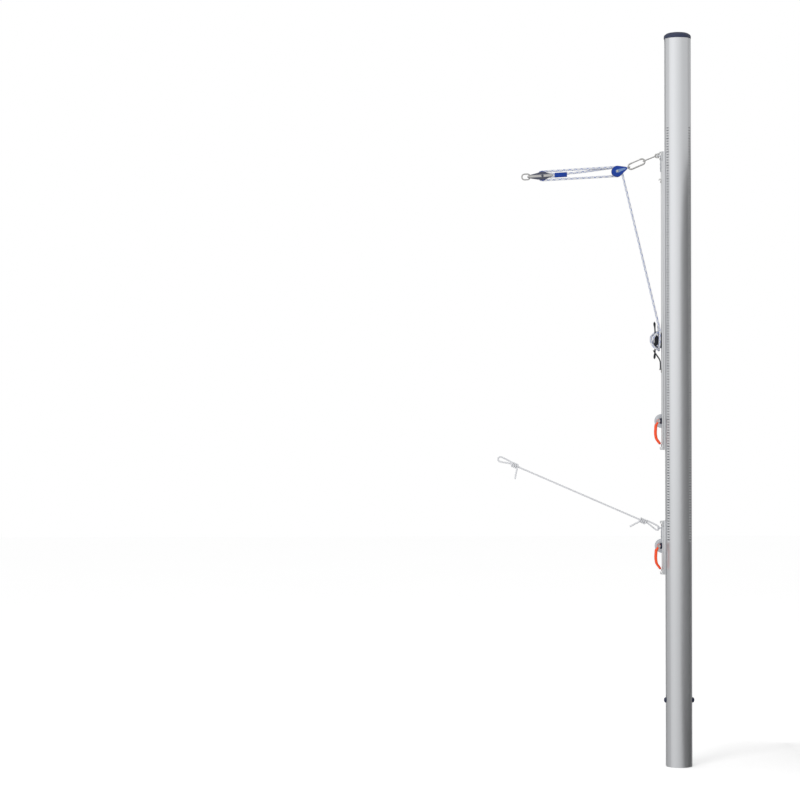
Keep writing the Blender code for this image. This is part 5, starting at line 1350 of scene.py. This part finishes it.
def hull(first, first_radius, last, last_radius, step=4.0):
    """Outline round two circles, as their (x, z) middles and radii."""
    way = Vector((MM * (last[0] - first[0]), MM * (last[1] - first[1])))
    turn = math.degrees(math.atan2(way.y, way.x))
    lean = math.degrees(math.acos(MM * (first_radius - last_radius) / way.length))
    points = arc(first, first_radius, turn + lean, turn + 360 - lean, step)
    return points + arc(last, last_radius, turn - lean, turn + lean, step)


def make_sheave(name, at, finish, body, node):
    """Grooved wheel with a dished web and a hub."""
    half, rim, rope_way, groove, dish = 5.2, 18.1, 16.3, 4.6, 0.6
    side = [(2.8, -half), (6.6, -half), (7.2, dish - half), (11.4, dish - half), (12, -half),
            (rim - dish, -half), (rim, dish - half)]
    edge = degrees_of(rim - rope_way, groove)
    low, high = math.radians(180 - edge), math.radians(360 + edge)
    turns = [low + (high - low) * i / 18 for i in range(19)]
    middle = [(rope_way + groove * math.sin(t), groove * math.cos(t)) for t in turns]
    profile = side + middle + [(r, -w) for r, w in reversed(side)]
    settle(turned(name, profile, across(at), 64), body, finish, node)


def make_pin(name, at, half, shank, head, body, node, finish=None):
    """A steel pin from front to back with a rounded head at each end."""
    height = 1.4
    rise = 0.3 * height
    end = [(head, half), *rounded(head, 0.35 * head, half + rise, 0.7 * height), (0, half + height)]
    profile = [(r, -w) for r, w in reversed(end)] + [(shank, -half), (shank, half)] + end
    settle(turned(name, profile, across(at), 40), body, "stainless", node, finish=finish)


def make_near_block(body):
    """Blue double block: two ribbed cheeks, the divider with its eye, two sheaves and a pin; the ribs' outer
    faces are paler, a painted highlight.
    """
    divider, gap, width, cheek = 0.8, 0.5, 10.4, 3
    inner = divider + width + 2 * gap
    eye, axis = flat(NEAR_AXIS, NECK, BECKET_REACH), flat(NEAR_AXIS)
    outline = hull(axis, 20.5, eye, 6)
    pin_hole = circle(axis, 2.8)
    rib_outline = hull(axis, 6.5, flat(NEAR_AXIS, NECK, 30), 3.2)
    for side, end in ((1, "front"), (-1, "back")):
        skin, rib, post = (sorted((side * low, side * high)) for low, high in (
            (inner, inner + 0.7 * cheek), (inner + 0.5 * cheek, inner + cheek),
            (divider + FIT, inner + 0.5 * cheek)))
        piece = plate(f"near_{end}_cheek", outline, *skin, holes=[pin_hole], edge=0.9, segments=4)
        join(piece, plate("rib", rib_outline, *rib, holes=[pin_hole], edge=0.6),
             rod("spacer", 3, *post, across(NEAR_AXIS + 25 * NECK)))
        smooth(piece)
        settle(piece, body, "blue", f"near_cheek_{end}")
        # the ribs' outer faces take a paler blue, a painted highlight
        pick_out(piece, "inlay", inner + 0.75 * cheek)
    holes = [pin_hole, circle(eye, 2.7)]
    piece = plate("near_divider_plate", outline, -divider, divider, SIDE, holes, 0.3, 2)
    settle(piece, body, "blue", "near_divider")
    middle = Vector((0, divider + gap + width / 2, 0))
    make_sheave("near_front_wheel", NEAR_AXIS - middle, "navy", "haul_wheel", "near_sheave_front")
    make_sheave("near_back_wheel", NEAR_AXIS + middle, "navy", "return_wheel", "near_sheave_back")
    make_pin("near_block_pin", NEAR_AXIS, inner + cheek + FIT, 2.5, 4.5, body, "near_pin")


def far_outline(axis, ring, becket):
    """Plate wide at the axle, drawn in to the ring pin and to the becket pin."""
    wide, narrow = 15.5, 5
    turn = math.degrees(math.atan2(AWAY.z, AWAY.x))
    to_ring, to_becket = (math.degrees(math.acos((wide - narrow) / reach))
                          for reach in (RING_REACH, BECKET_REACH))
    outline = arc(ring, narrow, turn - to_ring, turn + to_ring, 6)
    outline += arc(axis, wide, turn + to_ring, turn + 180 - to_becket, 4)
    outline += arc(becket, narrow, turn + 180 - to_becket, turn + 180 + to_becket, 6)
    return outline + arc(axis, wide, turn + 180 + to_becket, turn + 360 - to_ring, 4)


def make_far_block(body):
    """Steel single block: two plates, a blue sheave, its axle, the becket pin and the ring pin; the plates
    and the axle are darkened with painted shade, the plates' raised straps stay plain stainless.
    """
    inner, thick = 5.7, 1.6
    outer = inner + thick
    axis, ring, becket = (flat(FAR_AXIS, AWAY, reach) for reach in (0, RING_REACH, -BECKET_REACH))
    outline = far_outline(axis, ring, becket)
    strap = hull(ring, 4.4, becket, 4.4)
    holes = [circle(axis, 2.8), circle(ring, 2.3, 24), circle(becket, 2.3, 24)]
    for side, end in ((1, "front"), (-1, "back")):
        own = holes[:3 if side > 0 else 2]
        low, raised, high, top = (side * depth for depth in (inner, inner + 0.6, outer - 0.5, outer))
        piece = plate(f"far_{end}_plate", outline, *sorted((low, high)), holes=own, edge=0.3)
        join(piece, plate("strap", strap, *sorted((raised, top)), holes=own, edge=0.2))
        if side < 0:
            seat = outer + FIT
            pin = [(0, -inner - 0.8), (2, -inner - 0.8), (2, seat), (3.5, seat), (3.5, seat + 0.6),
                   (3.1, seat + 1.15), (2.4, seat + 1.4), (0, seat + 1.4)]
            join(piece, turned("becket_pin", pin, across(BECKET)))
            smooth(piece)
        # painted shade: the stainless plates are darkened to the tone they show in shadow; pick_out below
        # leaves the straps' outer faces plain stainless
        settle(piece, body, "stainless", f"far_plate_{end}", finish="dark_steel")
        pick_out(piece, "stainless", outer - 0.45)
    make_sheave("far_wheel_blue", FAR_AXIS, "blue", "far_wheel", "far_sheave")
    # the axle is darkened with painted shade as well
    make_pin("far_block_axle", FAR_AXIS, outer + FIT, 2.5, 4.5, body, "far_axle", "dark_steel")
    make_pin("far_ring_pin", RING_PIN, outer + FIT, 2, 3.5, body, "ring_pin")
    pin_half, ring_wire = 2, 5
    near = RING_PIN - (pin_half + ring_wire / 2 + FIT) * AWAY
    ring = wire("net_oval_ring", oval(near, near + 31 * AWAY, 10.5, UP), ring_wire, True)
    settle(ring, body, "stainless", "net_ring")


def make_rope_sleeve(body):
    """Blue sleeve that clamps the rope's eye, with its through bore and a blind one for the end."""
    section = rounded_box((-9, -5.5), (9, 5.5), 5, 9)
    piece = plate("rope_eye_sleeve", section, 0, SLEEVE_LENGTH, frame_at(SLEEVE_FACE, UP, FRONT),
                  [circle((ROPE_RISE, 0), 4.3)], 0.8)
    settle(piece, body, "blue", "rope_sleeve")


# Operators

class MakePost(bpy.types.Operator):
    """Make the extruded profile, its scale films, its cap and its depth stop"""
    bl_idname = "net_post.post"
    bl_label = "Post"

    def execute(self, context):
        sizes = sizes_of("sizes")
        for make in (make_profile, make_scale_films, make_cap, make_depth_stop):
            make(sizes)
        return {"FINISHED"}


class MakeSliders(bpy.types.Operator):
    """Make both sliders with their hooks, screws, clamps and eyes"""
    bl_idname = "net_post.sliders"
    bl_label = "Sliders"

    def execute(self, context):
        sizes = sizes_of("slider")
        for prefix, clamp, hook, screw in (("upper", UPPER_CLAMP, TOP_HOOK_LENGTH, TOP_HOOK_SCREW),
                                           ("lower", LOWER_CLAMP, HOOK_LENGTH, HOOK_SCREW)):
            make_slider(prefix, sizes, clamp, hook, screw)
            make_clamp(prefix, sizes, clamp)
        screw = box_of("upper_base_bar")[1][2] - TOP_HOOK_SCREW
        make_pad_eye("upper_eye", UPPER_EYE, (-59, 3), (-46, -32), 5, "upper_slider", screw)
        make_pad_eye("lower_eye", LOWER_EYE, (-39.5, 3.9), (-31, -16), 8, "lower_slider")
        make_side_hook("upper_side_hook", "upper_slider")
        make_side_hook("lower_side_hook", "upper_slider")
        make_cleat("upper_slider")
        return {"FINISHED"}


class MakeTackle(bpy.types.Operator):
    """Make the links, the carabiner, both blocks and the rope's sleeve"""
    bl_idname = "net_post.tackle"
    bl_label = "Tackle"

    def execute(self, context):
        body = "upper_slider"
        make_chain(sizes_of("tackle"), body)
        make_near_block(body)
        make_far_block(body)
        make_rope_sleeve(body)
        return {"FINISHED"}


def declare_cord(piece, path, diameter, **said):
    """Work out a cord's exit and length from its path, which is in metres; they are not kept or passed on."""
    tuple(path[0])
    round(path_length(path), 3)


class MakeRope(bpy.types.Operator):
    """Make the braided tackle rope and its whipped end"""
    bl_idname = "net_post.rope"
    bl_label = "Tackle Rope"

    def execute(self, context):
        sizes = sizes_of("tackle")
        path = even_path(smooth_path(rope_route(), 6), 2 * MM)
        points = [point / MM for point in path]
        piece = cord_mesh("braided_tackle_rope", points, sizes.rope / 2, 20, sizes.braid)
        settle(piece, "upper_slider", "rope", "tackle_rope")
        onward = (points[-1] - points[-2]).normalized()
        where = frame_at(points[-1] + FIT * onward, (0, 1, 0), FRONT.cross(onward))
        whipping = 4.3
        profile = [(0, 0), (3.9, 0), (whipping, 0.4), (whipping, 3), (4.05, 3.4), (4.05, 4.2),
                   (whipping, 4.6), (whipping, 11), (3.9, 12.6), (3, 13.6), (1.5, 14), (0, 14)]
        cap = turned("rope_end_cap", profile, where)
        settle(cap, "upper_slider", "black", "rope_end")
        declare_cord(piece, path, sizes.rope, far_end="fitting", stiffness="medium", with_pieces=[cap])
        return {"FINISHED"}


class MakeLowerCord(bpy.types.Operator):
    """Make the laid cord from the lower eye to its loop at the net"""
    bl_idname = "net_post.lower_cord"
    bl_label = "Lower Cord"

    def execute(self, context):
        sizes = sizes_of("tackle")
        points = even_path(smooth_path(cord_route(), 4), 0.8)

        def lobes(angle, run):
            phase = 1.5 * (angle - math.tau * run / sizes.lay)
            return sizes.cord / 2 * (1 - 0.2 * (1 - abs(math.cos(phase))) ** 1.4)

        piece = cord_mesh("laid_lower_cord", points, lobes, 24, sizes.lay)
        settle(piece, "lower_slider", "rope", "lower_cord", finish="laid")
        path = [in_metres(point) for point in points]
        declare_cord(piece, path, sizes.cord, far_end="knot", stiffness="limp")
        return {"FINISHED"}


class MakeStowCord(bpy.types.Operator):
    """Make the elastic loop that keeps the rope on its cleat"""
    bl_idname = "net_post.stow_cord"
    bl_label = "Keeper Cord"

    def execute(self, context):
        half = sizes_of("tackle").elastic / 2
        piece = cord_mesh("elastic_keeper_cord", keeper_route(), half, 16, 12, closed=True)
        settle(piece, "upper_slider", "elastic", "stow_cord")
        return {"FINISHED"}


def studio_world():
    """White to the camera, soft grey light, and for reflections a studio that fades to its sides."""
    world = bpy.data.worlds.new("studio")
    world.use_nodes = True
    sky = Tree(world.node_tree)
    x, y, z = sky.parts(sky.add("ShaderNodeTexCoord")["Generated"])
    turn = sky.math("ARCTAN2", x, y * -1.0)
    left, right, behind = (sky.spread(turn, math.radians(first), math.radians(last), near, far)
                           for first, last, near, far in ((-135, -68, 0.42, 1.0), (-40, 48, 1.0, 0.62),
                                                          (85, 125, 1.0, 0.68)))
    soft = left * right * (sky.spread(z, -0.25, 0.02, 0.95, 1.38) * behind)
    shade = sky.add("ShaderNodeCombineColor", {0: soft, 1: soft, 2: soft})[0]
    path = sky.add("ShaderNodeLightPath")
    lit = sky.mix(path["Is Glossy Ray"], (0.62, 0.62, 0.62), shade)
    seen = sky.math("MAXIMUM", path["Is Camera Ray"], path["Is Transmission Ray"])
    Node(sky, world.node_tree.nodes["Background"])["Color"] = sky.mix(seen, lit, (1, 1, 1))
    return world


def stage_finish(name, scale, clouds):
    """A matt material of the stage, with its grain."""
    made, tree, shader, where = start_finish(name, 0.9, Specular_IOR_Level=0.0)
    grain = use(tree, grain_group, Coordinates=where["Object"], Scale=scale, Clouds=clouds)["Shade"]
    return made, tree, shader, where, grain


def make_floor(stage):
    """Pale floor that keeps the post's shadow."""
    take()
    bpy.ops.mesh.primitive_grid_add(x_subdivisions=2, y_subdivisions=2, size=30.0)
    floor = bpy.context.object
    floor.name = "stage_floor"
    made, tree, shader, _, grain = stage_finish("stage_floor", 60.0, 0.8)
    shader["Base Color"] = tree.mix(grain, *shades(stage.floor, 0.985, 1.015))
    seen = tree.add("ShaderNodeLightPath")["Is Camera Ray"]
    shader["Emission Color"] = tree.mix(seen, (0, 0, 0), (0.45, 0.45, 0.45))
    shader["Emission Strength"] = 1.0
    floor.data.materials.append(made)
    floor.visible_glossy = False


def make_flag():
    """Dark board beside the post, seen only in reflections, paler towards the camera."""
    made, tree, shader, where, grain = stage_finish("stage_flag", 9.0, 0.7)
    rear = tree.spread(tree.parts(where["Object"])[1], -1.2, 0.3)
    tone = tree.mix(rear, (0.64, 0.64, 0.64), (0.26, 0.26, 0.26))
    shader["Base Color"] = tree.mix(grain * 0.1, tone, (0, 0, 0))
    take()
    bpy.ops.mesh.primitive_plane_add(size=1.0)
    flag = bpy.context.object
    flag.name = "stage_flag"
    place(flag, Matrix.Translation((0.5, -0.65, 0.94)) @ Matrix.Rotation(math.radians(90), 4, "Y")
          @ Matrix.Diagonal((2.88, 2.5, 1, 1)))
    flag.data.materials.append(made)
    flag.visible_camera = flag.visible_shadow = False


def make_lamp(name, at, aim, size, power):
    """Square lamp, kept out of reflections."""
    take()
    bpy.ops.object.light_add(type="AREA", location=at)
    lamp = bpy.context.object
    lamp.name = name
    lamp.data.shape = "SQUARE"
    lamp.data.size = size
    lamp.data.energy = power
    lamp.visible_glossy = False
    lamp.rotation_euler = (Vector(aim) - Vector(at)).to_track_quat("-Z", "Y").to_euler()


class MakeStage(bpy.types.Operator):
    """Set the pale floor, the backdrop light, the lamps and the camera"""
    bl_idname = "net_post.stage"
    bl_label = "Stage"

    def execute(self, context):
        stage = context.scene.net_post_stage
        make_floor(stage)
        context.scene.world = studio_world()
        make_lamp("key_lamp", (-3.2, -4.6, 3.4), (0, 0, 1.5), 2.2, 130)
        make_lamp("fill_lamp", (3.6, -4.2, 2.0), (0, 0, 1.4), 2.4, 30)
        make_flag()
        take()
        bpy.ops.object.camera_add(location=(stage.aside, -stage.distance, stage.eye),
                                  rotation=(math.radians(90), stage.roll, 0))
        camera = context.object
        camera.name = "camera"
        camera.data.sensor_width = 36
        camera.data.lens = stage.lens / MM
        camera.data.clip_end = 100
        context.scene.camera = camera
        context.scene.view_settings.view_transform = "Standard"
        return {"FINISHED"}


SLOT_FINISH = {"slide": "shoe", "rope": "laid"}     # slots whose finish has another name


class FinishNodes(bpy.types.Operator):
    """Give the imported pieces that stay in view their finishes"""
    bl_idname = "net_post.finish_nodes"
    bl_label = "Finishes"

    def execute(self, context):
        make_finishes()
        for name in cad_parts:
            for held in bpy.data.objects[name].material_slots:
                plain = held.material.name.split(".")[0]
                held.material = FINISH[SLOT_FINISH.get(plain, plain)]
        return {"FINISHED"}


class NetPostPanel(bpy.types.Panel):
    """Lists the steps that make the net post"""
    bl_idname = "VIEW3D_PT_net_post"
    bl_label = "Net Post"
    bl_space_type = "VIEW_3D"
    bl_region_type = "UI"
    bl_category = "Net Post"

    def draw(self, context):
        for step in STEPS:
            self.layout.operator(step.bl_idname)


STEPS = (MakeStage, FinishNodes, MakePost, MakeSliders, MakeTackle, MakeRope, MakeLowerCord,
         MakeStowCord)
GROUPS = {"net_post_sizes": PostSizes, "net_post_slider": SliderSizes, "net_post_tackle": TackleSizes,
          "net_post_finishes": Finishes, "net_post_stage": StageSettings}
CLASSES = (*GROUPS.values(), *STEPS, NetPostPanel)


def register():
    for item in CLASSES:
        bpy.utils.register_class(item)
    for name, group in GROUPS.items():
        setattr(bpy.types.Scene, name, bpy.props.PointerProperty(type=group))


def unregister():
    for name in GROUPS:
        delattr(bpy.types.Scene, name)
    for item in reversed(CLASSES):
        bpy.utils.unregister_class(item)


def main():
    register()
    for step in STEPS:
        family, name = step.bl_idname.split(".")
        getattr(getattr(bpy.ops, family), name)()
    take()


if __name__ == "__main__":
    main()
